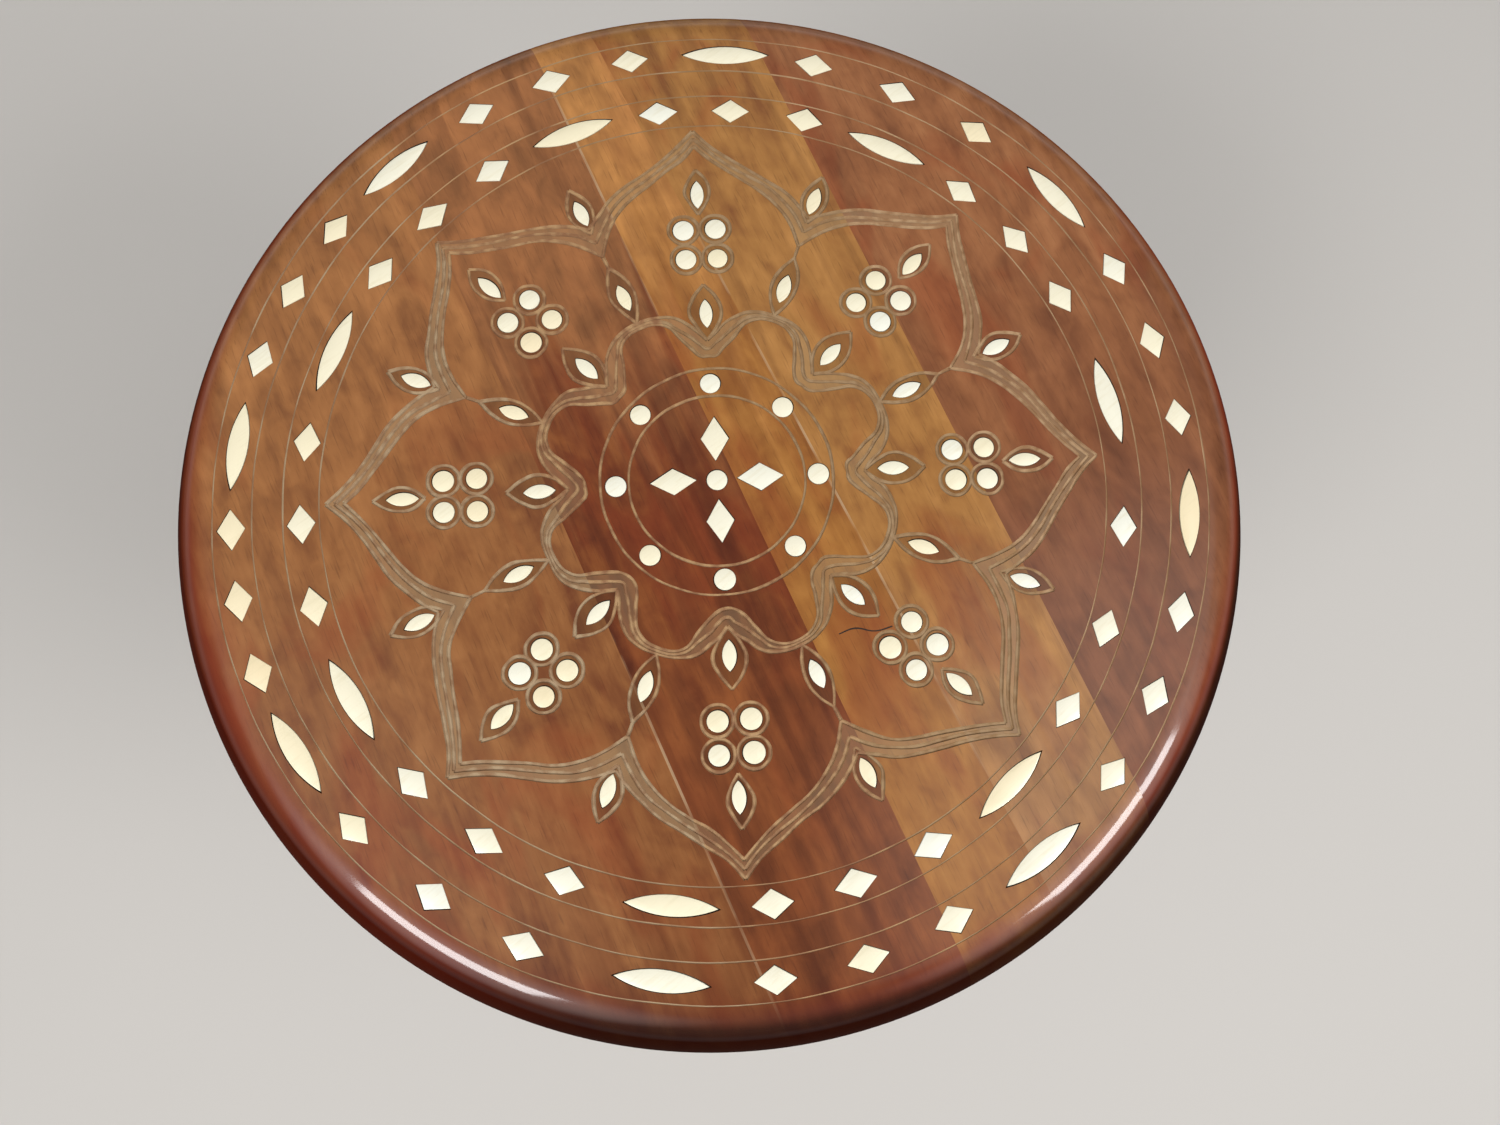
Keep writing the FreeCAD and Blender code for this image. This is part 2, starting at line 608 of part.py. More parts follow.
def nodes():
    """Every node of the table with its shape."""
    made = numbered("top_board", top_boards())
    for name, kind, places in inlay_groups():
        made.append((name, Part.makeCompound(inlay_solids(kind, places, 0.0, 0.0))))
    made += numbered("bearer", bearers())
    made.append(("bearer_screws", Part.makeCompound(bearer_screws())))
    made.append(("column_block", column_block()))
    made.append(("block_screws", Part.makeCompound(block_screws())))
    made.append(("column", column()))
    made += numbered("leg", legs())
    made.append(("spider_plate", spider_plate()))
    made.append(("spider_screws", Part.makeCompound(plate_screws())))
    made += numbered("foot_pad", foot_pads())
    return made


os.makedirs("parts", exist_ok=True)
for node_name, node_shape in nodes():
    node_shape.exportStep(f"parts/{node_name}.step")
    solid_count = len(node_shape.Solids)
    print(node_name, "solids", solid_count, "valid", node_shape.isValid(), "volume", round(node_shape.Volume))
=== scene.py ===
"""Looks of a round pedestal side table with a carved and bone-inlaid top.

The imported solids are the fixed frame. The five boards of the top are made again with the carved lines cut
into them, the inlays with their softened edges, and the felt pads with their rounded ones. The turned column,
the legs and the hardware keep their solids and get their finishes here. Sizes are in millimetres until a
piece is finished, and in metres after that.
"""
import logging
import math
import random
from dataclasses import dataclass, field
from enum import Enum
from typing import Iterable, Sequence

import bmesh
import bpy
from bmesh.types import BMEdge, BMesh, BMFace, BMVert
from bpy.types import Material, Mesh, Node, NodeSocket, NodeTree, Object
from mathutils import Euler, Matrix, Vector


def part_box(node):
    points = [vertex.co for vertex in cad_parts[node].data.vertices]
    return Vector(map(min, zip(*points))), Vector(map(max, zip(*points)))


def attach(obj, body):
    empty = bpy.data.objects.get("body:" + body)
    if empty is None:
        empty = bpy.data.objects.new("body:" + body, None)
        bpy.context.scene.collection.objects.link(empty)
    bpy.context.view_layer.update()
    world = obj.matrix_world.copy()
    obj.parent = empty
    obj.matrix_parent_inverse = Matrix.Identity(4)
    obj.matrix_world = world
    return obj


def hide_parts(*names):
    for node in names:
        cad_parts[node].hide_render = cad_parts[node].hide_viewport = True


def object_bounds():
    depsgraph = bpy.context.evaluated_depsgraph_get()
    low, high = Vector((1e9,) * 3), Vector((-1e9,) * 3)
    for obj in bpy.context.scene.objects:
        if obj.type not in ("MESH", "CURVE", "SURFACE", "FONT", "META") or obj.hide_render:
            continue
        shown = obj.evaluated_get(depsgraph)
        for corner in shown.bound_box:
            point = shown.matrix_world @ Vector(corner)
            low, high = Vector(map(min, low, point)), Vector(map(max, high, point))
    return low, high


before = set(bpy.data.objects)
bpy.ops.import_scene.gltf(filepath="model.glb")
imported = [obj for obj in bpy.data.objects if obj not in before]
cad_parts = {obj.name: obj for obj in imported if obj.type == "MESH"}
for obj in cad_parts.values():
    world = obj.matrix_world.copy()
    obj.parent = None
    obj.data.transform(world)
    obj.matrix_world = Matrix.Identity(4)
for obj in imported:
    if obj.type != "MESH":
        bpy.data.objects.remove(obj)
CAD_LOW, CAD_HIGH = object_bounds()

Place = tuple[float, float]
Size = tuple[float, float]
Span = tuple[float, float]
Way = tuple[float, float, float]
Colour = tuple[float, float, float, float]
# Radius, angle and own turn of an inlay
Setting = tuple[float, float, float]

MM = 0.001
TABLE_HEIGHT = CAD_HIGH.z / MM
TOP_RADIUS = (CAD_HIGH.x - CAD_LOW.x) / 2 / MM
SEED = 41
QUARTER_TURN = 90.0
WELD_MM = 0.0005
SAW_MM = WELD_MM / 5
# A face is flat when the upright part of its normal is more than this
FLAT_NORMAL = 0.999

log = logging.getLogger("side_table")


# Places, colours and shader nodes


def polar(radius: float, angle: float) -> Place:
    """Gives the place at a radius and an angle in degrees."""
    turn = math.radians(angle)
    return radius * math.cos(turn), radius * math.sin(turn)


def smoothstep(share: float) -> float:
    """Eases from 0 to 1 as a share goes from 0 to 1."""
    share = min(max(share, 0.0), 1.0)
    return share * share * (3 - 2 * share)


def linear(code: str) -> Colour:
    """Turns an sRGB hex colour into the linear colour that a shader reads.

    Args:
        code: Six hex digits.

    Returns:
        Linear red, green and blue, and an alpha of 1.
    """
    shares = [int(code[start:start + 2], 16) / 255 for start in (0, 2, 4)]
    red, green, blue = (
        share / 12.92 if share <= 0.04045 else ((share + 0.055) / 1.055) ** 2.4 for share in shares
    )
    return red, green, blue, 1.0


def add_node(tree: NodeTree, kind: str, inputs: dict | Sequence = (), **settings: object) -> Node:
    """Adds a node with its settings, and fills or links its inputs.

    Args:
        tree: The material's node tree.
        kind: Blender's name for the node.
        inputs: Values or output sockets, in order, or by the input's name or number.
        **settings: Properties of the node, and stops, the places and colours of a ramp.

    Returns:
        The new node.
    """
    node = tree.nodes.new(kind)
    stops = settings.pop("stops", None)
    for name, value in settings.items():
        setattr(node, name, value)
    if stops:
        ramp = node.color_ramp.elements
        ramp.remove(ramp[1])
        ramp[0].position, ramp[0].color = stops[0]
        for place, colour in stops[1:]:
            ramp.new(place).color = colour
    for socket, value in inputs.items() if isinstance(inputs, dict) else enumerate(inputs):
        if isinstance(value, NodeSocket):
            tree.links.new(value, node.inputs[socket])
        else:
            node.inputs[socket].default_value = value
    return node


def reach_towards(tree: NodeTree, turn: float) -> NodeSocket:
    """Measures how far every place on a piece lies in a level direction.

    Args:
        tree: The material's node tree.
        turn: The direction, in degrees.

    Returns:
        The distance from the table's axis, in metres.
    """
    place = add_node(tree, "ShaderNodeTexCoord").outputs["Object"]
    way = Vector(polar(1.0, turn)).to_3d()
    return add_node(tree, "ShaderNodeVectorMath", [place, way], operation="DOT_PRODUCT").outputs[1]


def blank_material(name: str) -> tuple[Material, NodeTree, Node]:
    """Makes a material with only its shader.

    Args:
        name: What the finish is called.

    Returns:
        The material, its node tree and its shader.
    """
    material = bpy.data.materials.new(name)
    material.use_nodes = True
    tree = material.node_tree
    return material, tree, tree.nodes["Principled BSDF"]


# Finishes


@dataclass(frozen=True)
class Grain:
    """Which way the fibres of a piece run, as turns of the grain's own X axis.

    Attributes:
        turn: Degrees about the upright axis.
        dip: Degrees that the far end points down.
    """

    turn: float = 0.0
    dip: float = 0.0

    def euler(self) -> Way:
        """Gives the turns that a Mapping node takes."""
        return 0.0, math.radians(self.dip), math.radians(self.turn)


@dataclass(frozen=True)
class Fibre:
    """A noise that is stretched along the grain.

    Attributes:
        along: Length of one blotch along the grain, in mm.
        across: Its width, in mm.
        detail: How many finer layers it has.
        bend: How far it wanders.
        shift: Keeps it apart from the other noises of its finish.
    """

    along: float
    across: float
    detail: float = 2.0
    bend: float = 0.0
    shift: float = 0.0

    def add(self, tree: NodeTree, grain: Grain, seed: float = 0.0) -> NodeSocket:
        """Draws the noise on the piece's own coordinates.

        Args:
            tree: The material's node tree.
            grain: Which way the fibres run.
            seed: Moves the noise to another part of the timber.

        Returns:
            The noise, about 0 to 1 with a middle of 0.5.
        """
        start = seed + self.shift
        inputs = {
            "Vector": add_node(tree, "ShaderNodeTexCoord").outputs["Object"],
            "Rotation": grain.euler(),
            "Scale": (self.along * MM, self.across * MM, self.across * MM),
            "Location": (start, start / 3, 0.0),
        }
        place = add_node(tree, "ShaderNodeMapping", inputs, vector_type="TEXTURE").outputs[0]
        inputs = {"Vector": place, "Scale": 1.0, "Detail": self.detail, "Distortion": self.bend}
        return add_node(tree, "ShaderNodeTexNoise", inputs).outputs[0]


@dataclass(frozen=True)
class RimStainAndShade:
    """Dark red stain on the rounded rim, with painted shade that darkens its near side more than its far
    side.

    Attributes:
        layers: Depth under the top in mm, hex colour and share, from the first red trace to the full stain
            and painted shade.
        turn: Direction of the near side, where the painted shade reaches highest, in degrees.
        tilt: How much higher the stain reaches for each mm towards that side, as painted shade.
        edge: Radii between which the stain sets in, in mm.
        painted_shade: Hex colour of the painted shade that goes near black on the near right of the rim.
        shade_turn: Direction of that side, in degrees.
        shade_span: Distances towards that side between which the painted shade sets in, in mm.
        shade_depth: Depths under the top between which it sets in, in mm.
        worn: Depths between which hands have worn the varnish thin, the same all round, in mm.
        left: Share of the varnish that is left under those.
    """

    layers: tuple[tuple[float, str, float], ...] = (
        (0.3, "8a3c22", 0.0),
        (3.0, "742817", 0.8),
        (6.6, "3e0f07", 0.97),
    )
    # The stain reaches higher towards the near side: painted shade where that side lies in shade
    turn: float = 252.0
    tilt: float = 0.02
    edge: Span = (168.0, 181.0)
    # Painted shade, near black, on the near right of the rim
    painted_shade: str = "1f0704"
    shade_turn: float = 300.0
    shade_span: Span = (60.0, 140.0)
    shade_depth: Span = (1.8, 5.2)
    worn: Span = (1.8, 3.8)
    left: float = 0.03


@dataclass(frozen=True)
class EndTone:
    """Paler sapwood or darker heartwood towards one end of a board; the first board's paler far end is partly
    painted reflection.

    Attributes:
        colour: Its hex colour.
        start: How far along the grain it begins, in mm from the middle of the top.
        end: Where it is full, on either side of the start.
        strength: Its share there.
        figure: How far the figure of the wood lightens and darkens it.
    """

    colour: str
    start: float
    end: float
    strength: float
    figure: float = 0.35


@dataclass(frozen=True)
class GlueLine:
    """Glue that shows pale along stretches of a joint.

    Attributes:
        distance: How far the joint lies from the middle of the top, in mm.
        turn: Which way the joint faces, in degrees.
        span: Between which places along the grain it shows, in mm from the middle of the top.
        fade: Over what length it dies out there, in mm.
        width: How far the glue reaches into a board, in mm.
        colour: Its hex colour.
        share: How strongly it shows.
        stretches: Where it shows, the same on the two boards of the joint.
        stretch_span: Levels of that noise between which it sets in.
    """

    distance: float
    turn: float
    span: Span
    fade: float = 30.0
    width: float = 0.45
    colour: str = "b79a78"
    share: float = 0.6
    stretches: Fibre = Fibre(24.0, 20.0, 3.0, shift=4.0)
    stretch_span: Span = (0.4, 0.6)


@dataclass(frozen=True)
class Tint:
    """How the wood between carved lines is coloured.

    Attributes:
        name: What it is called.
        colour: Its hex colour.
        share: How strongly it shows.
    """

    name: str
    colour: str
    share: float


@dataclass(frozen=True)
class WoodFinish:
    """Sheesham, planed, stained and varnished: streaks along the grain, short dark pores, a satin gloss.

    A span holds the levels of a noise between which something sets in.

    Attributes:
        name: What the finish is called.
        light: Hex colour of the palest wood.
        middle: Hex colour of most of the wood.
        dark: Hex colour of the dark growth streaks.
        heart: Hex colour of the broad heartwood streaks.
        heart_share: How strongly they show.
        seed: Which part of the timber it was cut from.
        grain: Which way the fibres run.
        line: Hex colour of the polish that dried in its carved lines.
        hairline: Hex colour of its finest scored lines.
        dust: How far the ribbons between its carved lines are dusted with polish.
        rim: The stain and painted shade on the rim, on the boards of the top.
        ends: Other tones towards its ends.
        glues: The pale glue at its joints.
        figure: Broad clouds of light and dark.
        streaks: Growth streaks over them.
        streak_share: How far the streaks outweigh the clouds.
        mottle: Small flecks over both.
        mottle_share: How far the flecks outweigh both.
        tone_span: Where the wood goes from dark to light.
        blush: Red patches.
        blush_share: How strongly they show.
        blush_colour: Their hex colour.
        broad: Heartwood streaks.
        ragged: How unevenly an end tone begins.
        ragged_reach: How far that moves it either way, in mm.
        pores: Open pores.
        pore_share: How strongly they show.
        pore_colour: Their hex colour.
        pore_depth: How deep they are, in mm.
        pore_bump: How strongly that depth shows.
        polish: Where the varnish was rubbed more and less.
        satin: Roughness of the wood under it, from the most rubbed to the least.
        coat: How much varnish there is.
        coat_roughness: How dull the varnish is.
        ior: How strongly wood and varnish bend light.
    """

    name: str
    light: str
    middle: str
    dark: str
    heart: str
    heart_share: float
    seed: float
    grain: Grain
    line: str = ""
    hairline: str = ""
    dust: float = 0.0
    rim: RimStainAndShade | None = None
    ends: tuple[EndTone, ...] = ()
    glues: tuple[GlueLine, ...] = ()

    figure: Fibre = Fibre(42.0, 18.0, 4.0, 1.4)
    streaks: Fibre = Fibre(85.0, 3.8, 3.0, 0.7, shift=3.0)
    streak_share: float = 0.27
    mottle: Fibre = Fibre(11.0, 8.0, 4.0, 0.5, shift=19.0)
    mottle_share: float = 0.33
    tone_span: Span = (0.34, 0.66)
    blush: Fibre = Fibre(60.0, 32.0, 3.0, 0.9, shift=23.0)
    blush_span: Span = (0.5, 0.68)
    blush_share: float = 0.45
    blush_colour: str = "863b1c"
    broad: Fibre = Fibre(190.0, 11.0, 3.0, 0.8, shift=7.0)
    heart_span: Span = (0.54, 0.68)
    ragged: Fibre = Fibre(190.0, 11.0, 3.0, 0.8, shift=17.0)
    ragged_span: Span = (0.3, 0.7)
    ragged_reach: float = 40.0
    # Real pores are about 0.2 mm wide: these are coarser, so that they show
    pores: Fibre = Fibre(9.0, 0.55, 1.0, shift=11.0)
    pore_span: Span = (0.6, 0.75)
    pore_share: float = 0.3
    pore_colour: str = "3a1c10"
    pore_depth: float = 0.05
    pore_bump: float = 0.2
    polish: Fibre = Fibre(40.0, 24.0, 2.0, shift=13.0)
    polish_span: Span = (0.3, 0.7)
    satin: Span = (0.3, 0.42)
    coat: float = 1.0
    coat_roughness: float = 0.09
    ior: float = 1.5

    def material(self, tint: Tint | None = None) -> Material:
        """Makes the finish.

        Args:
            tint: How it is coloured between carved lines, or nothing on the open field.

        Returns:
            The material.
        """
        material, tree, shader = blank_material(f"{self.name}_{tint.name}" if tint else self.name)
        noises = (self.figure, self.streaks, self.mottle, self.blush, self.broad, self.pores, self.polish)
        figure, streaks, mottle, blush, broad, pores, polish = (
            noise.add(tree, self.grain, self.seed) for noise in noises
        )
        tone = add_node(tree, "ShaderNodeMix", {0: self.streak_share, 2: figure, 3: streaks}).outputs[0]
        tone = add_node(tree, "ShaderNodeMix", {0: self.mottle_share, 2: tone, 3: mottle}).outputs[0]
        low, high = self.tone_span
        codes = (self.dark, self.middle, self.light)
        stops = list(zip((low, (low + high) / 2, high), map(linear, codes)))
        colour = add_node(tree, "ShaderNodeValToRGB", [tone], stops=stops).outputs[0]
        inputs = [blush, *self.blush_span, 0.0, self.blush_share]
        share = add_node(tree, "ShaderNodeMapRange", inputs, interpolation_type="SMOOTHSTEP").outputs[0]
        inputs = {0: share, 6: colour, 7: linear(self.blush_colour)}
        colour = add_node(tree, "ShaderNodeMix", inputs, data_type="RGBA").outputs[2]
        for end in self.ends:
            colour = self.tone_end(tree, colour, tone, end)
        inputs = [broad, *self.heart_span, 0.0, self.heart_share]
        share = add_node(tree, "ShaderNodeMapRange", inputs, interpolation_type="SMOOTHSTEP").outputs[0]
        inputs = {0: share, 6: colour, 7: linear(self.heart)}
        colour = add_node(tree, "ShaderNodeMix", inputs, data_type="RGBA").outputs[2]
        inputs = [pores, *self.pore_span, 0.0, self.pore_share]
        pitted = add_node(tree, "ShaderNodeMapRange", inputs).outputs[0]
        inputs = {0: pitted, 6: colour, 7: linear(self.pore_colour)}
        colour = add_node(tree, "ShaderNodeMix", inputs, data_type="RGBA").outputs[2]
        if tint:
            inputs = {0: tint.share, 6: colour, 7: linear(tint.colour)}
            colour = add_node(tree, "ShaderNodeMix", inputs, data_type="RGBA").outputs[2]
        for glue in self.glues:
            colour = self.show_glue(tree, colour, glue)
        shader.inputs["Coat Weight"].default_value = self.coat
        if self.rim:
            colour = self.finish_rim(tree, shader, colour)
        satin = add_node(tree, "ShaderNodeMapRange", [polish, *self.polish_span, *self.satin]).outputs[0]
        inputs = {"Height": pitted, "Strength": self.pore_bump, "Distance": -self.pore_depth * MM}
        bump = add_node(tree, "ShaderNodeBump", inputs).outputs[0]
        tree.links.new(colour, shader.inputs["Base Color"])
        tree.links.new(satin, shader.inputs["Roughness"])
        tree.links.new(bump, shader.inputs["Normal"])
        shader.inputs["IOR"].default_value = self.ior
        # The gloss is the varnish's alone
        shader.inputs["Specular IOR Level"].default_value = 0.0
        shader.inputs["Coat Roughness"].default_value = self.coat_roughness
        shader.inputs["Coat IOR"].default_value = self.ior
        return material

    def tone_end(self, tree: NodeTree, colour: NodeSocket, tone: NodeSocket, end: EndTone) -> NodeSocket:
        """Lets the wood go over to another tone towards one end.

        Args:
            tree: The material's node tree.
            colour: The wood's colour before.
            tone: The figure of the wood, about 0 to 1.
            end: The other tone.

        Returns:
            The colour with that tone.
        """
        along = reach_towards(tree, self.grain.turn)
        ragged = self.ragged.add(tree, self.grain, self.seed)
        reach = self.ragged_reach * MM
        moved = add_node(tree, "ShaderNodeMapRange", [ragged, *self.ragged_span, -reach, reach]).outputs[0]
        along = add_node(tree, "ShaderNodeMath", [along, moved]).outputs[0]
        inputs = [along, end.start * MM, end.end * MM, 0.0, end.strength]
        share = add_node(tree, "ShaderNodeMapRange", inputs, interpolation_type="SMOOTHSTEP").outputs[0]
        inputs = [tone, *self.tone_span, 1.0 - end.figure, 1.0 + end.figure]
        shade = add_node(tree, "ShaderNodeMapRange", inputs).outputs[0]
        inputs = {0: linear(end.colour)[:3], "Scale": shade}
        other = add_node(tree, "ShaderNodeVectorMath", inputs, operation="SCALE").outputs[0]
        inputs = {0: share, 6: colour, 7: other}
        return add_node(tree, "ShaderNodeMix", inputs, data_type="RGBA").outputs[2]

    def show_glue(self, tree: NodeTree, colour: NodeSocket, glue: GlueLine) -> NodeSocket:
        """Lays pale glue along stretches of a joint.

        Args:
            tree: The material's node tree.
            colour: The wood's colour before.
            glue: Where the glue is.

        Returns:
            The colour with the glue.
        """
        inputs = [reach_towards(tree, glue.turn), glue.distance * MM, glue.width * MM]
        near = add_node(tree, "ShaderNodeMath", inputs, operation="COMPARE").outputs[0]
        inputs = [glue.stretches.add(tree, self.grain), *glue.stretch_span, 0.0, glue.share]
        share = add_node(tree, "ShaderNodeMapRange", inputs).outputs[0]
        share = add_node(tree, "ShaderNodeMath", [near, share], operation="MULTIPLY").outputs[0]
        along = reach_towards(tree, glue.turn + QUARTER_TURN)
        for limit, sign in zip(glue.span, (1, -1)):
            inputs = [along, limit * MM, (limit + sign * glue.fade) * MM, 0.0, share]
            share = add_node(tree, "ShaderNodeMapRange", inputs).outputs[0]
        inputs = {0: share, 6: colour, 7: linear(glue.colour)}
        return add_node(tree, "ShaderNodeMix", inputs, data_type="RGBA").outputs[2]

    def finish_rim(self, tree: NodeTree, shader: Node, colour: NodeSocket) -> NodeSocket:
        """Darkens the wood towards the rim with stain and painted shade, and lets the varnish thin out on its
        edge.

        Args:
            tree: The material's node tree.
            shader: The material's shader.
            colour: The wood's colour before the stain and the painted shade.

        Returns:
            The colour with the stain and the painted shade.
        """
        rim = self.rim
        place = add_node(tree, "ShaderNodeTexCoord").outputs["Object"]
        height = add_node(tree, "ShaderNodeSeparateXYZ", [place]).outputs[2]
        full, bare = ((TABLE_HEIGHT - worn) * MM for worn in rim.worn)
        inputs = [height, bare, full, self.coat * rim.left, self.coat]
        coat = add_node(tree, "ShaderNodeMapRange", inputs).outputs[0]
        tree.links.new(coat, shader.inputs["Coat Weight"])
        # The tilt lets the stain reach higher on the near side: painted shade
        down = Vector((*polar(rim.tilt, rim.turn), -1.0))
        depth = add_node(tree, "ShaderNodeVectorMath", [place, down], operation="DOT_PRODUCT").outputs[1]
        depth = add_node(tree, "ShaderNodeMath", [depth, TABLE_HEIGHT * MM]).outputs[0]
        deepest = rim.layers[-1][0]
        share = add_node(tree, "ShaderNodeMapRange", [depth, 0.0, deepest * MM]).outputs[0]
        stops = [(sunk / deepest, (*linear(code)[:3], cover)) for sunk, code, cover in rim.layers]
        stain_and_shade = add_node(tree, "ShaderNodeValToRGB", [share], stops=stops)
        inputs = [place, (1.0, 1.0, 0.0)]
        level = add_node(tree, "ShaderNodeVectorMath", inputs, operation="MULTIPLY").outputs[0]
        radius = add_node(tree, "ShaderNodeVectorMath", [level], operation="LENGTH").outputs[1]
        inputs = [radius, *(edge * MM for edge in rim.edge), 0.0, stain_and_shade.outputs["Alpha"]]
        share = add_node(tree, "ShaderNodeMapRange", inputs, interpolation_type="SMOOTHSTEP").outputs[0]
        # Painted shade that goes near black towards the near right of the rim
        inputs = [reach_towards(tree, rim.shade_turn), *(reach * MM for reach in rim.shade_span)]
        black = add_node(tree, "ShaderNodeMapRange", inputs, interpolation_type="SMOOTHSTEP").outputs[0]
        inputs = [depth, *(sunk * MM for sunk in rim.shade_depth), 0.0, black]
        black = add_node(tree, "ShaderNodeMapRange", inputs, interpolation_type="SMOOTHSTEP").outputs[0]
        inputs = {0: black, 6: stain_and_shade.outputs["Color"], 7: linear(rim.painted_shade)}
        dark = add_node(tree, "ShaderNodeMix", inputs, data_type="RGBA").outputs[2]
        inputs = {0: share, 6: colour, 7: dark}
        return add_node(tree, "ShaderNodeMix", inputs, data_type="RGBA").outputs[2]


@dataclass(frozen=True)
class DullFinish:
    """A dull filler or fibre with a fine mottle: polish in the cuts, glue round the inlay, felt.

    Attributes:
        name: What the finish is called.
        light: Hex colour of its pale specks.
        dark: Hex colour of its dark specks.
        grit: Size of the specks, in mm.
        roughness: How dull it is.
        sheen: Soft light from loose fibres.
        fluff: Height of its bumps, in mm.
        bump: How strongly they show.
        speck_span: Levels of the specks' noise between which dark goes over to light.
    """

    name: str
    light: str
    dark: str
    grit: float
    roughness: float = 0.8
    sheen: float = 0.0
    fluff: float = 0.05
    bump: float = 0.6
    speck_span: Span = (0.38, 0.62)

    def material(self) -> Material:
        """Makes the finish.

        Returns:
            The material.
        """
        material, tree, shader = blank_material(self.name)
        specks = Fibre(self.grit, self.grit, detail=3.0, shift=1.0).add(tree, Grain())
        stops = list(zip(self.speck_span, (linear(self.dark), linear(self.light))))
        colour = add_node(tree, "ShaderNodeValToRGB", [specks], stops=stops).outputs[0]
        inputs = {"Height": specks, "Strength": self.bump, "Distance": self.fluff * MM}
        bump = add_node(tree, "ShaderNodeBump", inputs).outputs[0]
        tree.links.new(colour, shader.inputs["Base Color"])
        tree.links.new(bump, shader.inputs["Normal"])
        shader.inputs["Roughness"].default_value = self.roughness
        shader.inputs["Sheen Weight"].default_value = self.sheen
        return material


@dataclass(frozen=True)
class BoneFinish:
    """Camel bone, sawn, filed and polished under varnish: cream, with pale fibres and warm or cool pieces.

    Attributes:
        name: What the finish is called.
        cool: Hex colour of the whitest pieces.
        cream: Hex colour of most pieces.
        peach: Hex colour of the pinkest pieces.
        warmth: The mesh's attribute that says how warm each piece is, from 0 to 1.
        fibre: Hex colour of the faint fibres.
        fibres: Their noise.
        grain: Which way they run.
        fibre_span: Levels of that noise between which they set in.
        fibre_share: How strongly they show.
        roughness: How dull the bone is.
        ior: How strongly it bends light.
        coat: How much varnish there is.
        coat_roughness: How dull the varnish is.
    """

    name: str = "polished_bone"
    cool: str = "ecebdc"
    cream: str = "ede3c3"
    peach: str = "ecd3a4"
    warmth: str = "warmth"
    fibre: str = "d6c9a2"
    fibres: Fibre = Fibre(10.0, 1.1, 3.0, shift=5.0)
    grain: Grain = Grain(35.0)
    fibre_span: Span = (0.5, 0.72)
    fibre_share: float = 0.3
    roughness: float = 0.32
    ior: float = 1.54
    coat: float = 0.4
    coat_roughness: float = 0.1

    def material(self) -> Material:
        """Makes the finish, which reads how warm each piece is from its mesh.

        Returns:
            The material.
        """
        material, tree, shader = blank_material(self.name)
        warmth = add_node(tree, "ShaderNodeAttribute", attribute_name=self.warmth).outputs["Fac"]
        stops = [(0.0, linear(self.cool)), (0.5, linear(self.cream)), (1.0, linear(self.peach))]
        colour = add_node(tree, "ShaderNodeValToRGB", [warmth], stops=stops).outputs[0]
        inputs = [self.fibres.add(tree, self.grain), *self.fibre_span, 0.0, self.fibre_share]
        share = add_node(tree, "ShaderNodeMapRange", inputs).outputs[0]
        inputs = {0: share, 6: colour, 7: linear(self.fibre)}
        colour = add_node(tree, "ShaderNodeMix", inputs, data_type="RGBA").outputs[2]
        tree.links.new(colour, shader.inputs["Base Color"])
        shader.inputs["Roughness"].default_value = self.roughness
        shader.inputs["IOR"].default_value = self.ior
        shader.inputs["Coat Weight"].default_value = self.coat
        shader.inputs["Coat Roughness"].default_value = self.coat_roughness
        return material


@dataclass(frozen=True)
class SteelFinish:
    """Mild steel, plated or lacquered: rubbed and dusty spots in its gloss.

    Attributes:
        name: What the finish is called.
        bright: Hex colour where it is clean.
        dull: Hex colour where it is rubbed or dusty.
        metallic: 1 for bare plating, 0 under lacquer.
        gloss: Roughness where it is clean.
        marks: Size of the rubbed spots, in mm.
        dulling: How much rougher it is where it is rubbed.
        colour_span: Levels of the spots' noise between which the colour changes.
        gloss_span: Levels between which the roughness changes.
    """

    name: str
    bright: str
    dull: str
    metallic: float
    gloss: float
    marks: float
    dulling: float = 0.22
    colour_span: Span = (0.42, 0.68)
    gloss_span: Span = (0.35, 0.7)

    def material(self) -> Material:
        """Makes the finish.

        Returns:
            The material.
        """
        material, tree, shader = blank_material(self.name)
        rubbed = Fibre(self.marks, self.marks, detail=4.0, shift=2.0).add(tree, Grain())
        stops = list(zip(self.colour_span, (linear(self.bright), linear(self.dull))))
        colour = add_node(tree, "ShaderNodeValToRGB", [rubbed], stops=stops).outputs[0]
        inputs = [rubbed, *self.gloss_span, self.gloss, self.gloss + self.dulling]
        rough = add_node(tree, "ShaderNodeMapRange", inputs).outputs[0]
        tree.links.new(colour, shader.inputs["Base Color"])
        tree.links.new(rough, shader.inputs["Roughness"])
        shader.inputs["Metallic"].default_value = self.metallic
        return material


# Meshes


def make_object(name: str, mesh: Mesh) -> Object:
    """Puts a mesh into the scene as an object at the origin.

    Args:
        name: The object's name.
        mesh: Its mesh.

    Returns:
        The object.
    """
    made = bpy.data.objects.new(name, mesh)
    bpy.context.scene.collection.objects.link(made)
    return made


def make_piece(name: str, bm: BMesh, materials: Sequence[Material], sharp_degrees: float = 30.0) -> Object:
    """Turns a shape in millimetres into a finished piece in metres.

    Args:
        name: The piece's name.
        bm: The shape, which is used up.
        materials: Its finishes, in the order of its faces' numbers.
        sharp_degrees: Edges that bend more than this stay crisp.

    Returns:
        The piece, at the origin.
    """
    bmesh.ops.scale(bm, vec=Vector((MM, MM, MM)), verts=bm.verts)
    mesh = bpy.data.meshes.new(name)
    bm.to_mesh(mesh)
    bm.free()
    for material in materials:
        mesh.materials.append(material)
    mesh.set_sharp_from_angle(angle=math.radians(sharp_degrees))
    return make_object(name, mesh)


def seat(piece: Object, node: str) -> None:
    """Lets a piece ride on the table in the place of a solid.

    Args:
        piece: The piece.
        node: The solid that it stands for.
    """
    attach(piece, "root")
    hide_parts(node)
    log.info("%s: %d faces", piece.name, len(piece.data.polygons))


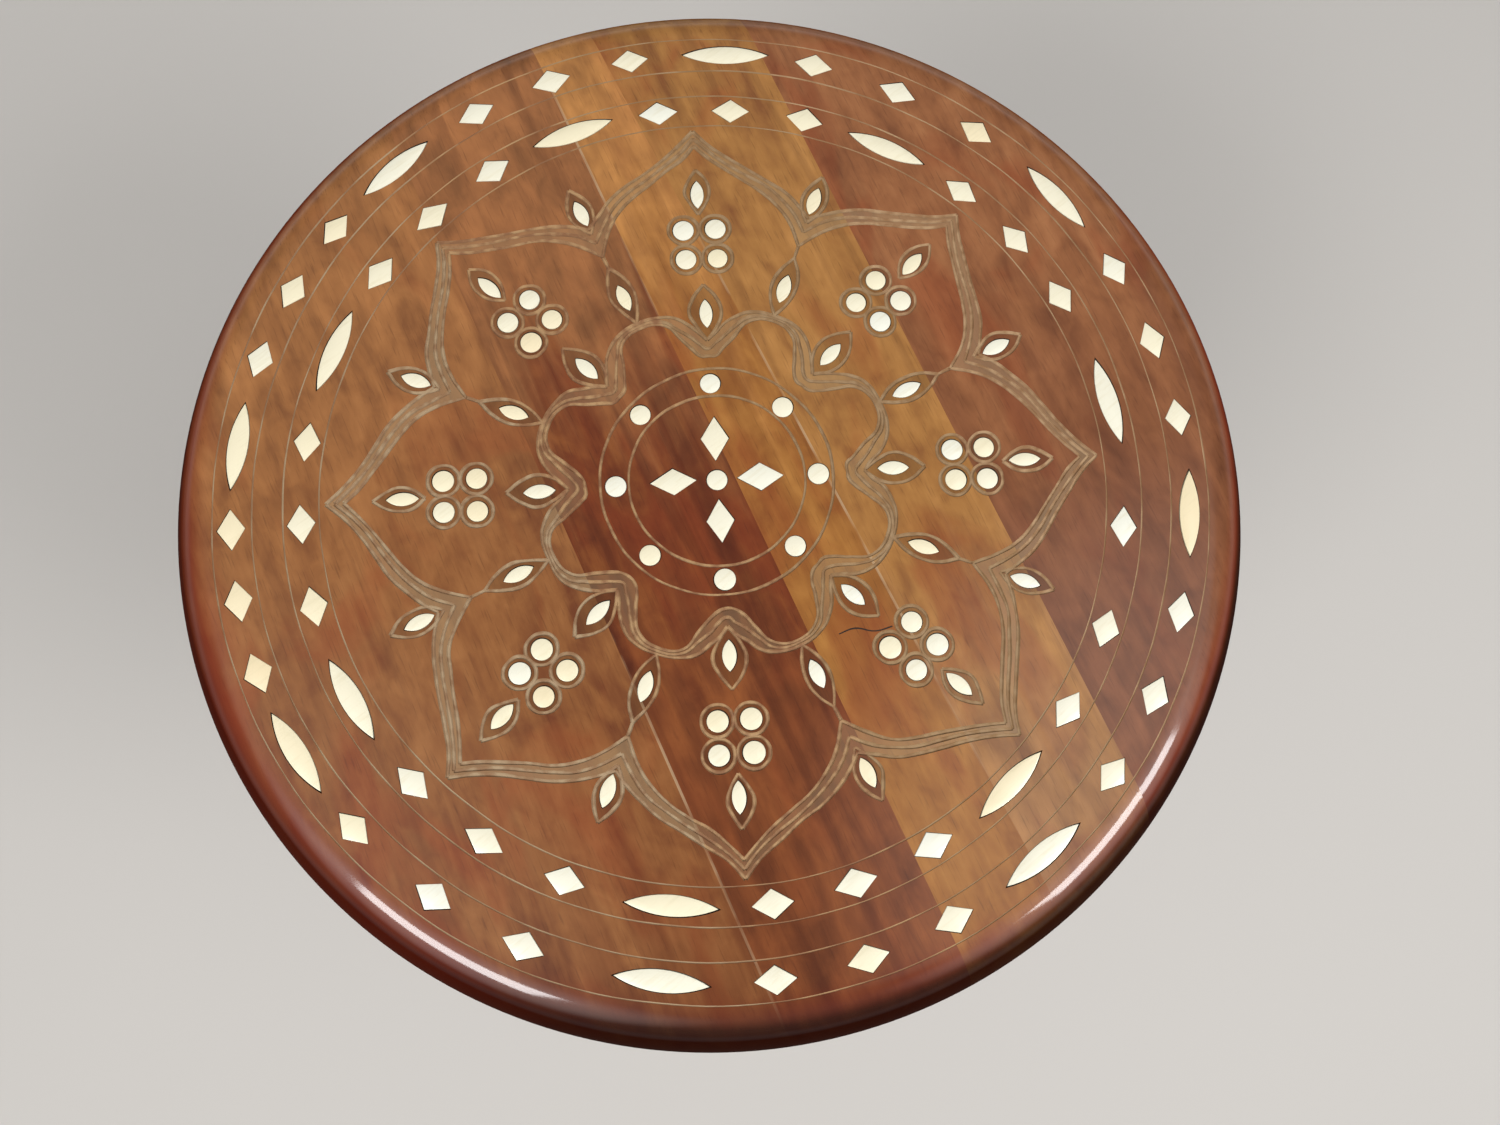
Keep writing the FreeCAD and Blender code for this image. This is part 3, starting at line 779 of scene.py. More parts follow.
def gather(parts: Iterable[BMesh]) -> BMesh:
    """Joins shapes into one.

    Args:
        parts: The shapes, which are used up.

    Returns:
        One shape with all of them.
    """
    whole = bmesh.new()
    for part in parts:
        mesh = bpy.data.meshes.new("part")
        part.to_mesh(mesh)
        part.free()
        whole.from_mesh(mesh)
        bpy.data.meshes.remove(mesh)
    return whole


# Bone inlays


class Shape(Enum):
    """Outlines that the inlays are sawn to."""

    DOT = "dot"
    DIAMOND = "diamond"
    LENS = "lens"


@dataclass(frozen=True)
class Inlay:
    """One piece of bone and the pocket that it sits in.

    Attributes:
        shape: Its outline.
        length: Its size along its own X axis, in mm.
        width: Its size across, in mm.
        place: Its middle.
        turn: Its own turn, in degrees.
        warmth: 0 for the whitest bone, 1 for the pinkest.
        slip: How far the pocket's middle lies from its own.
    """

    shape: Shape
    length: float
    width: float
    place: Place
    turn: float
    warmth: float
    slip: Place

    DOT_SIDES = 32
    DIAMOND_SIDES = 4
    ARC_STEPS = 14

    def outline(self, grow: float, tip: float) -> BMesh:
        """Makes the flat outline about the origin, with its long side along X.

        Args:
            grow: How far it stands out all round, in mm.
            tip: How much further it runs at both ends, in mm.

        Returns:
            A shape with one face.
        """
        length = self.length + 2 * (grow + tip)
        width = self.width + 2 * grow
        bm = bmesh.new()
        if self.shape is Shape.LENS:
            half = length / 2
            bow = width / 2
            radius = (half * half + bow * bow) / (2 * bow)
            point = bm.verts.new((-half, 0, 0))
            sweep = -2 * math.asin(half / radius)
            middle = Vector((0, bow - radius, 0))
            axis = Vector((0, 0, 1))
            bmesh.ops.spin(bm, geom=[point], cent=middle, axis=axis, angle=sweep, steps=self.ARC_STEPS)
            bmesh.ops.mirror(bm, geom=bm.verts[:] + bm.edges[:], axis="Y", merge_dist=WELD_MM)
            bmesh.ops.contextual_create(bm, geom=bm.edges[:])
        else:
            sides = self.DOT_SIDES if self.shape is Shape.DOT else self.DIAMOND_SIDES
            bmesh.ops.create_circle(bm, cap_ends=True, segments=sides, radius=0.5)
            bmesh.ops.scale(bm, vec=Vector((length, width, 1)), verts=bm.verts)
        return bm

    def prism(self, low: float, high: float, grow: float = 0.0, tip: float = 0.0) -> BMesh:
        """Makes the closed prism of the inlay, or of its pocket, in its place.

        Args:
            low: Height of its lower face, in mm.
            high: Height of its upper face, in mm.
            grow: How far it stands out all round, in mm. A pocket slips, and an inlay doesn't.
            tip: How much further it runs at both ends, in mm.

        Returns:
            The prism.
        """
        bm = self.outline(grow, tip)
        made = bmesh.ops.extrude_face_region(bm, geom=bm.faces[:])
        raised = [item for item in made["geom"] if isinstance(item, BMVert)]
        bmesh.ops.translate(bm, vec=Vector((0, 0, high - low)), verts=raised)
        bmesh.ops.recalc_face_normals(bm, faces=bm.faces)
        x, y = self.place
        if grow:
            x += self.slip[0]
            y += self.slip[1]
        spot = Matrix.Translation((x, y, low)) @ Matrix.Rotation(math.radians(self.turn), 4, "Z")
        bmesh.ops.transform(bm, matrix=spot, verts=bm.verts)
        return bm


@dataclass
class InlayWork:
    """All the bone in the top: the flower in the middle and the two borders round it.

    Sizes and places are those of the solids, with the small differences that sawing by hand leaves. Lengths
    are in mm and angles in degrees.
    """

    # A piece and its pocket
    thickness: float = 2.0
    edge_round: float = 0.22
    edge_steps: int = 2
    pocket_gap: float = 0.2
    pocket_slip: float = 0.14
    tip_gap: float = 0.6
    # Length and width of each kind
    dot: Size = (7.4, 7.4)
    centre_diamond: Size = (16.0, 9.8)
    leaf: Size = (11.0, 4.8)
    diamond: Size = (14.2, 9.4)
    lens: Size = (31.0, 7.0)
    # The borders: radii, angles of the lenses, and shares of the gap between two lenses
    outer_border: float = 166.4
    inner_border: float = 143.1
    border_turn: float = QUARTER_TURN
    outer_lenses: tuple[float, ...] = (37.0, 85.0, 131.0, 172.0, 210.0, 260.0, 306.0, 352.0)
    inner_lenses: tuple[float, ...] = (8.0, 60.0, 108.0, 157.0, 208.0, 260.0, 309.0)
    diamond_steps: tuple[float, ...] = (0.27, 0.5, 0.73)
    outer_uneven: tuple[tuple[float, tuple[float, ...]], ...] = (
        (37.0, (0.28, 0.52, 0.76)),
        (210.0, (0.22, 0.455, 0.685)),
    )
    inner_uneven: tuple[tuple[float, tuple[float, ...]], ...] = (
        (8.0, (0.33, 0.54, 0.745)),
        (309.0, (0.22, 0.435, 0.685)),
    )
    # The flower: its radius, and shares of it
    flower: float = 135.3
    petals: int = 8
    centre_diamonds: int = 4
    centre_gap: float = 3.4
    ring_share: float = 0.263
    base_leaf_share: float = 0.457
    inner_junction_share: float = 0.558
    cluster_share: float = 0.657
    tip_leaf_share: float = 0.802
    outer_junction_share: float = 0.828
    cluster_pitch: float = 11.3
    # What the hand leaves: bone is pinker at the left end
    size_spread: float = 0.035
    turn_spread: float = 2.0
    place_spread: float = 0.3
    warmth: float = 0.32
    warmth_spread: float = 0.18
    left_warmth: float = 0.15
    left_start: float = 100.0
    left_run: float = 60.0
    groups: dict[str, list[Inlay]] = field(default_factory=dict)

    def __post_init__(self) -> None:
        """Draws every piece once, so that pockets and inlays agree."""
        draw = random.Random(SEED)
        half = 180.0 / self.petals
        reach = self.dot[0] / 2 + self.centre_gap + self.centre_diamond[0] / 2
        quarter = 360.0 / self.centre_diamonds
        cross = [(reach, quarter * index, 0.0) for index in range(self.centre_diamonds)]
        inner = [(self.inner_border, angle, self.border_turn) for angle in self.inner_lenses]
        outer = [(self.outer_border, angle, self.border_turn) for angle in self.outer_lenses]
        inner_diamonds = self.between(self.inner_border, self.inner_lenses, dict(self.inner_uneven))
        outer_diamonds = self.between(self.outer_border, self.outer_lenses, dict(self.outer_uneven))
        plan = [
            ("centre_dot_inlay", Shape.DOT, self.dot, [(0.0, 0.0, 0.0)]),
            ("centre_diamond_inlays", Shape.DIAMOND, self.centre_diamond, cross),
            ("ring_dot_inlays", Shape.DOT, self.dot, self.ring(self.ring_share, 0.0)),
            ("petal_dot_inlays", Shape.DOT, self.dot, self.clusters()),
            ("petal_tip_leaf_inlays", Shape.LENS, self.leaf, self.ring(self.tip_leaf_share, 0.0)),
            ("petal_base_leaf_inlays", Shape.LENS, self.leaf, self.ring(self.base_leaf_share, 0.0)),
            ("inner_junction_leaf_inlays", Shape.LENS, self.leaf, self.ring(self.inner_junction_share, half)),
            ("outer_junction_leaf_inlays", Shape.LENS, self.leaf, self.ring(self.outer_junction_share, half)),
            ("inner_border_lens_inlays", Shape.LENS, self.lens, inner),
            ("inner_border_diamond_inlays", Shape.DIAMOND, self.diamond, inner_diamonds),
            ("outer_border_lens_inlays", Shape.LENS, self.lens, outer),
            ("outer_border_diamond_inlays", Shape.DIAMOND, self.diamond, outer_diamonds),
        ]
        for name, shape, size, settings in plan:
            self.groups[name] = [self.one(draw, shape, size, setting) for setting in settings]

    def ring(self, share: float, start: float) -> list[Setting]:
        """Gives one setting for each petal at a share of the flower's radius, from a start angle on."""
        step = 360.0 / self.petals
        return [(share * self.flower, start + step * index, 0.0) for index in range(self.petals)]

    def between(
        self, radius: float, lenses: tuple[float, ...], uneven: dict[float, tuple[float, ...]]
    ) -> list[Setting]:
        """Gives the settings of the diamonds between the lenses of a border.

        Args:
            radius: The border's radius, in mm.
            lenses: Angles of its lenses.
            uneven: Shares of the gaps that have a spacing of their own, by the lens before.

        Returns:
            One setting for each diamond.
        """
        settings = []
        for first, after in zip(lenses, lenses[1:] + lenses[:1]):
            gap = (after - first) % 360.0
            steps = uneven.get(first, self.diamond_steps)
            settings += [(radius, first + gap * share, self.border_turn) for share in steps]
        return settings

    def clusters(self) -> list[Setting]:
        """Gives the settings of the four dots in each petal.

        Returns:
            One setting for each dot.
        """
        half = self.cluster_pitch / 2
        settings = []
        for index in range(self.petals):
            for along in (-half, half):
                for aside in (-half, half):
                    reach = self.cluster_share * self.flower + along
                    swing = math.degrees(math.atan2(aside, reach))
                    settings.append((math.hypot(reach, aside), 360.0 / self.petals * index + swing, 0.0))
        return settings

    def one(self, draw: random.Random, shape: Shape, size: Size, setting: Setting) -> Inlay:
        """Saws one piece, a little off its true size, place and turn.

        Args:
            draw: Where the differences come from.
            shape: Its outline.
            size: Its true length and width, in mm.
            setting: Its true radius, angle and own turn.

        Returns:
            The piece.
        """
        radius, angle, turn = setting
        x, y = polar(radius, angle)
        x += draw.uniform(-self.place_spread, self.place_spread)
        y += draw.uniform(-self.place_spread, self.place_spread)
        length = size[0] * (1 + draw.uniform(-self.size_spread, self.size_spread))
        width = size[1] * (1 + draw.uniform(-self.size_spread, self.size_spread))
        if shape is Shape.DOT:
            width = length
        turned = angle + turn + draw.uniform(-self.turn_spread, self.turn_spread)
        pinker = self.left_warmth * smoothstep((-x - self.left_start) / self.left_run)
        warmth = draw.gauss(self.warmth + pinker, self.warmth_spread)
        slip_x = draw.uniform(-self.pocket_slip, self.pocket_slip)
        slip_y = draw.uniform(-self.pocket_slip, self.pocket_slip)
        return Inlay(shape, length, width, (x, y), turned, warmth, (slip_x, slip_y))

    def pockets(self) -> BMesh:
        """Makes the cutter for every pocket.

        Returns:
            One shape with all the pockets.
        """
        low = TABLE_HEIGHT - self.thickness
        high = TABLE_HEIGHT + self.thickness
        prisms = []
        for name, group in self.groups.items():
            tip = self.tip_gap if name.endswith("border_lens_inlays") else 0.0
            prisms += [inlay.prism(low, high, self.pocket_gap, tip) for inlay in group]
        return gather(prisms)

    def build(self, bone: Material) -> None:
        """Makes the inlays, one piece to each solid, with softened upper edges and a warmth on every corner.

        Args:
            bone: The finish.
        """
        low = TABLE_HEIGHT - self.thickness
        middle = TABLE_HEIGHT - self.thickness / 2
        for name, group in self.groups.items():
            parts = []
            for inlay in group:
                bm = inlay.prism(low, TABLE_HEIGHT)
                bmesh.ops.bevel(
                    bm,
                    geom=[edge for edge in bm.edges if min(vert.co.z for vert in edge.verts) > middle],
                    offset=self.edge_round,
                    segments=self.edge_steps,
                    profile=0.5,
                    affect="EDGES",
                    material=-1,
                )
                layer = bm.verts.layers.float.new(BoneFinish.warmth)
                for vert in bm.verts:
                    vert[layer] = inlay.warmth
                parts.append(bm)
            whole = gather(parts)
            for face in whole.faces:
                face.smooth = abs(face.normal.z) < FLAT_NORMAL
            seat(make_piece(f"{name}_bone", whole, [bone]), name)


# Carved boards


class BoardFace(Enum):
    """Finishes on one board, in the order of its material slots."""

    WOOD = 0
    HAIRLINE = 1
    CUT = 2
    POCKET = 3
    RIBBON = 4
    SURROUND = 5


@dataclass(frozen=True)
class Cut:
    """One stroke of the graver across the top.

    Attributes:
        knots: Places that the stroke passes through.
        width: Its width at the surface, in mm.
        layer: Strokes of one layer don't cross each other.
        closed: Whether its end meets its start.
    """

    knots: tuple[Place, ...]
    width: float
    layer: str
    closed: bool = False


@dataclass(frozen=True)
class LeafOutline:
    """A pointed oval that is cut round a leaf of bone.

    Attributes:
        start: Radius of its inner tip, in mm.
        end: Radius of its outer tip, in mm.
        width: Its width at the middle, in mm.
        turn: Angle of the first one, in degrees.
    """

    start: float
    end: float
    width: float
    turn: float

    # Knots of a side: shares of the length, and of half the width there
    SIDE = ((0.0, 0.0), (0.25, 0.72), (0.5, 1.0), (0.75, 0.72), (1.0, 0.0))

    def side(self, angle: float, sign: int) -> tuple[Place, ...]:
        """Gives the knots of one side of the oval.

        Args:
            angle: Direction of the oval's axis, in degrees.
            sign: Which side, 1 or -1.

        Returns:
            The knots, from the inner tip to the outer one.
        """
        span = self.end - self.start
        turn = Matrix.Rotation(math.radians(angle), 2)
        knots = [turn @ Vector((self.start + span * x, sign * self.width / 2 * y)) for x, y in self.SIDE]
        return tuple((knot.x, knot.y) for knot in knots)

    def holds(self, along: float, aside: float) -> bool:
        """Says whether a place on its own axis lies inside the oval."""
        share = 2 * (along - self.start) / (self.end - self.start) - 1
        return abs(share) < 1 and abs(aside) < self.width / 2 * (1 - share * share)


@dataclass
class Carving:
    """The lines that are cut into the top: border circles, a scalloped star, petals and leaf outlines.

    The petals' sides and the star each have three lines side by side, and the wood between them is dulled.
    Lengths are in mm and angles in degrees.
    """

    petals: int = 8
    line: float = 1.45
    fine_line: float = 1.15
    hairline: float = 0.6
    # Circles: radii, and how many knots each has
    border_circles: tuple[float, ...] = (136.8, 149.1, 159.7, 173.0)
    border_knots: int = 36
    border_layer: str = "borders"
    ring_circles: tuple[float, ...] = (30.8, 40.8)
    ring_knots: int = 16
    dot_circle: float = 5.45
    dot_knots: int = 8
    dot_layers: int = 4
    # One side of a petal: how far each knot lies beside the petal's axis, and along it
    petal_outer: tuple[Place, ...] = (
        (0.0, 134.6), (5.3, 128.8), (12.5, 122.9), (20.0, 117.7), (26.8, 112.8), (32.4, 107.8), (36.8, 102.2),
        (40.2, 97.0),
    )
    petal_inner: tuple[Place, ...] = (
        (0.0, 128.6), (4.3, 124.0), (10.7, 118.5), (17.0, 113.8), (23.5, 108.8), (29.2, 103.0), (32.9, 96.0),
        (35.7, 86.1),
    )
    # Radii of the stroke between two petals
    stem: Span = (87.8, 93.0)
    # Half a scallop of the star: angles, and the radii there
    star_angles: tuple[float, ...] = (0.0, 3.3, 6.3, 10.0, 14.6, 22.5)
    star_outer: tuple[float, ...] = (51.7, 54.8, 58.0, 61.3, 63.6, 64.5)
    star_inner: tuple[float, ...] = (45.7, 46.1, 48.3, 53.2, 60.0, 62.6)
    leaves: tuple[LeafOutline, ...] = (
        LeafOutline(51.7, 73.2, 11.1, 0.0),
        LeafOutline(64.5, 88.2, 8.8, 22.5),
        LeafOutline(103.0, 122.5, 9.0, 22.5),
        LeafOutline(100.8, 118.8, 8.8, 0.0),
    )
    # A crack in the third board
    crack: tuple[Place, ...] = ((37.5, -57.0), (43.0, -55.4), (50.0, -56.8), (56.0, -55.6))
    # The hand: how far a knot strays, and how the width of a stroke comes and goes
    wobble: float = 0.35
    swell: Span = (0.75, 1.15)
    # The graver: steps of its round point, steps between knots, and how far its axis lies above the top, as a
    # share of its width
    round_steps: int = 1
    curve_steps: int = 6
    lift: float = 0.0625
    dots: list[Place] = field(default_factory=list)

    def axes(self) -> list[float]:
        """Gives the directions of the petals, in degrees."""
        return [360.0 / self.petals * index for index in range(self.petals)]

    def cuts(self, dots: Sequence[Inlay]) -> list[Cut]:
        """Draws every stroke.

        Args:
            dots: The bone dots in the petals, each of which has a circle round it.

        Returns:
            The strokes.
        """
        draw = random.Random(SEED + 1)
        middle = (0.0, 0.0)
        strokes = []
        for radius in self.border_circles:
            stroke = self.circle(draw, middle, radius, self.border_knots, self.hairline, self.border_layer)
            strokes.append(stroke)
        for radius in self.ring_circles:
            strokes.append(self.circle(draw, middle, radius, self.ring_knots, self.fine_line, "rings"))
        for index, dot in enumerate(dots):
            layer = f"dots_{index % self.dot_layers}"
            strokes.append(self.circle(draw, dot.place, self.dot_circle, self.dot_knots, self.line, layer))
            self.dots.append(dot.place)
        strokes += self.star_cuts(draw)
        strokes += self.petal_cuts(draw)
        for axis in self.axes():
            knots = tuple(polar(radius, axis + 180.0 / self.petals) for radius in self.stem)
            strokes.append(Cut(knots, self.line, "stems"))
        for leaf in self.leaves:
            for axis in self.axes():
                for sign in (-1, 1):
                    knots = self.shaken(draw, leaf.side(axis + leaf.turn, sign))
                    strokes.append(Cut(knots, self.line, f"leaves_{sign}"))
        return strokes

    def shaken(self, draw: random.Random, knots: Sequence[Place]) -> tuple[Place, ...]:
        """Moves the knots of a stroke by a little, as a hand does, and keeps its ends.

        Args:
            draw: Where the differences come from.
            knots: The true knots.

        Returns:
            The moved knots.
        """
        inner = [
            (x + draw.uniform(-self.wobble, self.wobble), y + draw.uniform(-self.wobble, self.wobble))
            for x, y in knots[1:-1]
        ]
        return tuple([knots[0]] + inner + [knots[-1]])

    def circle(
        self, draw: random.Random, centre: Place, radius: float, knots: int, width: float, layer: str
    ) -> Cut:
        """Draws a circle that isn't quite true.

        Args:
            draw: Where the differences come from.
            centre: Its middle.
            radius: Its radius, in mm.
            knots: How many knots it has.
            width: Width of the stroke, in mm.
            layer: Which layer it belongs to.

        Returns:
            The stroke.
        """
        ring = []
        for index in range(knots):
            x, y = polar(radius + draw.uniform(-self.wobble, self.wobble) / 2, 360.0 * index / knots)
            ring.append((centre[0] + x, centre[1] + y))
        return Cut(tuple(ring), width, layer, True)

    def star_cuts(self, draw: random.Random) -> list[Cut]:
        """Draws the three lines of the star: two that run round it, and one of arcs that meet in cusps.

        Args:
            draw: Where the differences come from.

        Returns:
            The strokes.
        """
        strokes = []
        step = 360.0 / self.petals
        middle = tuple((outer + inner) / 2 for outer, inner in zip(self.star_outer, self.star_inner))
        for name, radii in (("star_inner", self.star_inner), ("star_middle", middle)):
            ring = []
            for axis in self.axes():
                run = list(zip(self.star_angles, radii))
                ring += [polar(radius, axis + angle) for angle, radius in run]
                ring += [polar(radius, axis + step - angle) for angle, radius in run[-2:0:-1]]
            strokes.append(Cut(self.shaken(draw, ring), self.line, name, True))
        run = list(zip(self.star_angles, self.star_outer))
        run += [(step - angle, radius) for angle, radius in run[-2::-1]]
        for index, axis in enumerate(self.axes()):
            knots = [polar(radius, axis + angle) for angle, radius in run]
            strokes.append(Cut(self.shaken(draw, knots), self.line, f"star_outer_{index % 2}"))
        return strokes

    def petal_cuts(self, draw: random.Random) -> list[Cut]:
        """Draws the three lines on both sides of every petal.

        Args:
            draw: Where the differences come from.

        Returns:
            The strokes.
        """
        middle = tuple(
            ((outer[0] + inner[0]) / 2, (outer[1] + inner[1]) / 2)
            for outer, inner in zip(self.petal_outer, self.petal_inner)
        )
        strokes = []
        for axis in self.axes():
            turn = Matrix.Rotation(math.radians(axis), 2)
            for sign in (-1, 1):
                for index, run in enumerate((self.petal_outer, middle, self.petal_inner)):
                    knots = [turn @ Vector((reach, sign * aside)) for aside, reach in run]
                    places = self.shaken(draw, [(knot.x, knot.y) for knot in knots])
                    strokes.append(Cut(places, self.line, f"petal_{index}_{sign}"))
        return strokes

    def cutters(self, cuts: Sequence[Cut]) -> list[tuple[str, BMesh]]:
        """Makes a round-bottomed tube for every stroke, one shape to each layer.

        Args:
            cuts: The strokes.

        Returns:
            Layers, and closed shapes that hold no crossing tubes.
        """
        layers: dict[tuple[str, float], list[Cut]] = {}
        for cut in cuts:
            layers.setdefault((cut.layer, cut.width), []).append(cut)
        return [(layer, self.tubes(group, width)) for (layer, width), group in layers.items()]

    def tubes(self, cuts: Sequence[Cut], width: float) -> BMesh:
        """Makes the tubes of one layer.

        Args:
            cuts: The strokes.
            width: Their width, in mm.

        Returns:
            One shape with all the tubes.
        """
        curve = bpy.data.curves.new("graver", "CURVE")
        curve.dimensions = "3D"
        curve.twist_mode = "Z_UP"
        curve.bevel_depth = width / 2
        curve.bevel_resolution = self.round_steps
        curve.resolution_u = self.curve_steps
        curve.use_fill_caps = True
        height = TABLE_HEIGHT + width * self.lift
        draw = random.Random(SEED + 2)
        for cut in cuts:
            spline = curve.splines.new("BEZIER")
            spline.bezier_points.add(len(cut.knots) - 1)
            for knot, (x, y) in zip(spline.bezier_points, cut.knots):
                knot.co = (x, y, height)
                knot.radius = draw.uniform(*self.swell)
                knot.handle_left_type = "AUTO"
                knot.handle_right_type = "AUTO"
            spline.use_cyclic_u = cut.closed
        tool = bpy.data.objects.new("graver", curve)
        bpy.context.scene.collection.objects.link(tool)
        graph = bpy.context.evaluated_depsgraph_get()
        mesh = bpy.data.meshes.new_from_object(tool.evaluated_get(graph))
        bm = bmesh.new()
        bm.from_mesh(mesh)
        bmesh.ops.remove_doubles(bm, verts=bm.verts, dist=WELD_MM)
        bmesh.ops.recalc_face_normals(bm, faces=bm.faces)
        bpy.data.objects.remove(tool)
        bpy.data.curves.remove(curve)
        bpy.data.meshes.remove(mesh)
        return bm

    def ground_at(self, x: float, y: float) -> BoardFace:
        """Finds what kind of ground a place on the top is.

        Args:
            x: The place, in mm.
            y: The place, in mm.

        Returns:
            Open wood, a ribbon between carved lines, or the ground round a leaf or a dot.
        """
        radius = math.hypot(x, y)
        angle = math.degrees(math.atan2(y, x))
        step = 360.0 / self.petals
        for leaf in self.leaves:
            offset = math.radians((angle - leaf.turn + step / 2) % step - step / 2)
            if leaf.holds(radius * math.cos(offset), radius * math.sin(offset)):
                return BoardFace.SURROUND
        if any(math.hypot(x - dot[0], y - dot[1]) < self.dot_circle for dot in self.dots):
            return BoardFace.SURROUND
        offset = (angle + step / 2) % step - step / 2
        inner = self.run_at(list(zip(self.star_angles, self.star_inner)), abs(offset), 0)
        outer = self.run_at(list(zip(self.star_angles, self.star_outer)), abs(offset), 0)
        if inner < radius < outer:
            return BoardFace.RIBBON
        along = radius * math.cos(math.radians(offset))
        aside = radius * abs(math.sin(math.radians(offset)))
        if self.petal_inner[-1][1] <= along <= self.petal_outer[0][1]:
            if self.run_at(self.petal_inner, along, 1) < aside < self.run_at(self.petal_outer, along, 1):
                return BoardFace.RIBBON
        return BoardFace.WOOD

    def run_at(self, run: Sequence[Place], value: float, column: int) -> float:
        """Reads a run of places at a value of one of its two columns.

        Args:
            run: The places, in order along that column.
            value: Where to read.
            column: The column that holds the value.

        Returns:
            The other column there.
        """
        places = sorted(run, key=lambda place: place[column])
        if value >= places[-1][column]:
            return places[-1][1 - column]
        for first, after in zip(places, places[1:]):
            if first[column] <= value <= after[column]:
                share = (value - first[column]) / (after[column] - first[column])
                return first[1 - column] + share * (after[1 - column] - first[1 - column])
        return places[0][1 - column]


@dataclass
class InlaidTop:
    """The round top: five boards, carved and let in with bone.

    A joint is its distance across the grain, in mm, and its skew, in degrees. A glue span says between which
    places along the grain a joint shows its glue.
    """

    # Section of the round
    thickness: float = 25.0
    round_width: float = 16.0
    round_depth: float = 15.0
    under_round: float = 8.0
    arc_steps: int = 14
    rim_steps: int = 240
    # Boards and their joints
    across_turn: float = 20.5
    joints: tuple[Place, ...] = ((-55.0, 0.0), (6.0, 0.0), (35.0, 2.1), (84.0, 0.0))
    glue_spans: tuple[Span, ...] = ((-175.0, -20.0), (60.0, 175.0), (-130.0, 90.0))
    # Ground between the carved lines, and the polish that dried in them
    dust_colour: str = "988a6a"
    surround: Tint = Tint("surround", "44351e", 0.3)
    polish_roughness: float = 0.7
    hairline_grit: float = 14.0
    cut_grit: float = 4.0
    carving: Carving = field(default_factory=Carving)
    inlays: InlayWork = field(default_factory=InlayWork)

    def grain(self) -> Grain:
        """Gives the way that the boards' fibres run."""
        return Grain(self.across_turn + QUARTER_TURN)

    def glue_lines(self) -> list[GlueLine]:
        """Finds the glue of the joints that show it, from left to right.

        Returns:
            The lines of glue.
        """
        lines = []
        for (distance, skew), span in zip(self.joints, self.glue_spans):
            nearest = distance * math.cos(math.radians(skew))
            lines.append(GlueLine(nearest, self.across_turn + skew, span))
        return lines

    def rim_profile(self) -> list[Place]:
        """Draws the rim's section from the edge of the upper flat to the edge of the lower one.

        Returns:
            Radius and height of every corner.
        """
        flat = TOP_RADIUS - self.round_width
        low = TABLE_HEIGHT - self.thickness
        upper = []
        under = []
        for step in range(self.arc_steps + 1):
            turn = math.pi / 2 * step / self.arc_steps
            out = math.sin(turn)
            down = 1 - math.cos(turn)
            upper.append((flat + self.round_width * out, TABLE_HEIGHT - self.round_depth * down))
            under.append((TOP_RADIUS - self.under_round * down, low + self.under_round * (1 - out)))
        return upper + under

    def disc(self) -> BMesh:
        """Turns the round top before it is carved.

        Returns:
            The closed disc.
        """
        bm = bmesh.new()
        verts = [bm.verts.new((radius, 0, height)) for radius, height in self.rim_profile()]
        edges = [bm.edges.new(pair) for pair in zip(verts, verts[1:])]
        bmesh.ops.spin(
            bm,
            geom=verts + edges,
            cent=Vector((0, 0, 0)),
            axis=Vector((0, 0, 1)),
            angle=2 * math.pi,
            steps=self.rim_steps,
            use_merge=True,
        )
        bmesh.ops.holes_fill(bm, edges=bm.edges, sides=0)
        bmesh.ops.recalc_face_normals(bm, faces=bm.faces)
        return bm

    def carved(self) -> Mesh:
        """Cuts the carved lines and the pockets into the disc.

        Returns:
            The carved disc, in millimetres, with its faces numbered as BoardFace says.
        """
        marks = {face: bpy.data.materials.new(face.name) for face in BoardFace}
        disc = self.tool("disc", self.disc(), marks[BoardFace.WOOD])
        dots = self.inlays.groups["petal_dot_inlays"]
        tools = []
        for layer, shape in self.carving.cutters(self.carving.cuts(dots)):
            fine = layer == self.carving.border_layer
            tools.append(self.tool(layer, shape, marks[BoardFace.HAIRLINE if fine else BoardFace.CUT]))
        tools.append(self.tool("pockets", self.inlays.pockets(), marks[BoardFace.POCKET]))
        crack = Cut(self.carving.crack, self.carving.hairline, "crack")
        for layer, shape in self.carving.cutters([crack]):
            tools.append(self.tool(layer, shape, marks[BoardFace.POCKET]))
        for tool in tools:
            cut = disc.modifiers.new("cut", "BOOLEAN")
            cut.operation = "DIFFERENCE"
            cut.solver = "MANIFOLD"
            cut.material_mode = "TRANSFER"
            cut.object = tool
        graph = bpy.context.evaluated_depsgraph_get()
        mesh = bpy.data.meshes.new_from_object(disc.evaluated_get(graph))
        for spent in [disc] + tools:
            used = spent.data
            bpy.data.objects.remove(spent)
            bpy.data.meshes.remove(used)
        log.info("carved disc: %d faces", len(mesh.polygons))
        for mark in marks.values():
            bpy.data.materials.remove(mark)
        return mesh

    def tool(self, name: str, bm: BMesh, finish: Material) -> Object:
        """Makes a passing object of a shape, to cut with or to be cut.

        Args:
            name: What it is called.
            bm: The shape, which is used up.
            finish: What marks its faces.

        Returns:
            The object.
        """
        mesh = bpy.data.meshes.new(name)
        bm.to_mesh(mesh)
        bm.free()
        mesh.materials.append(finish)
        return make_object(name, mesh)

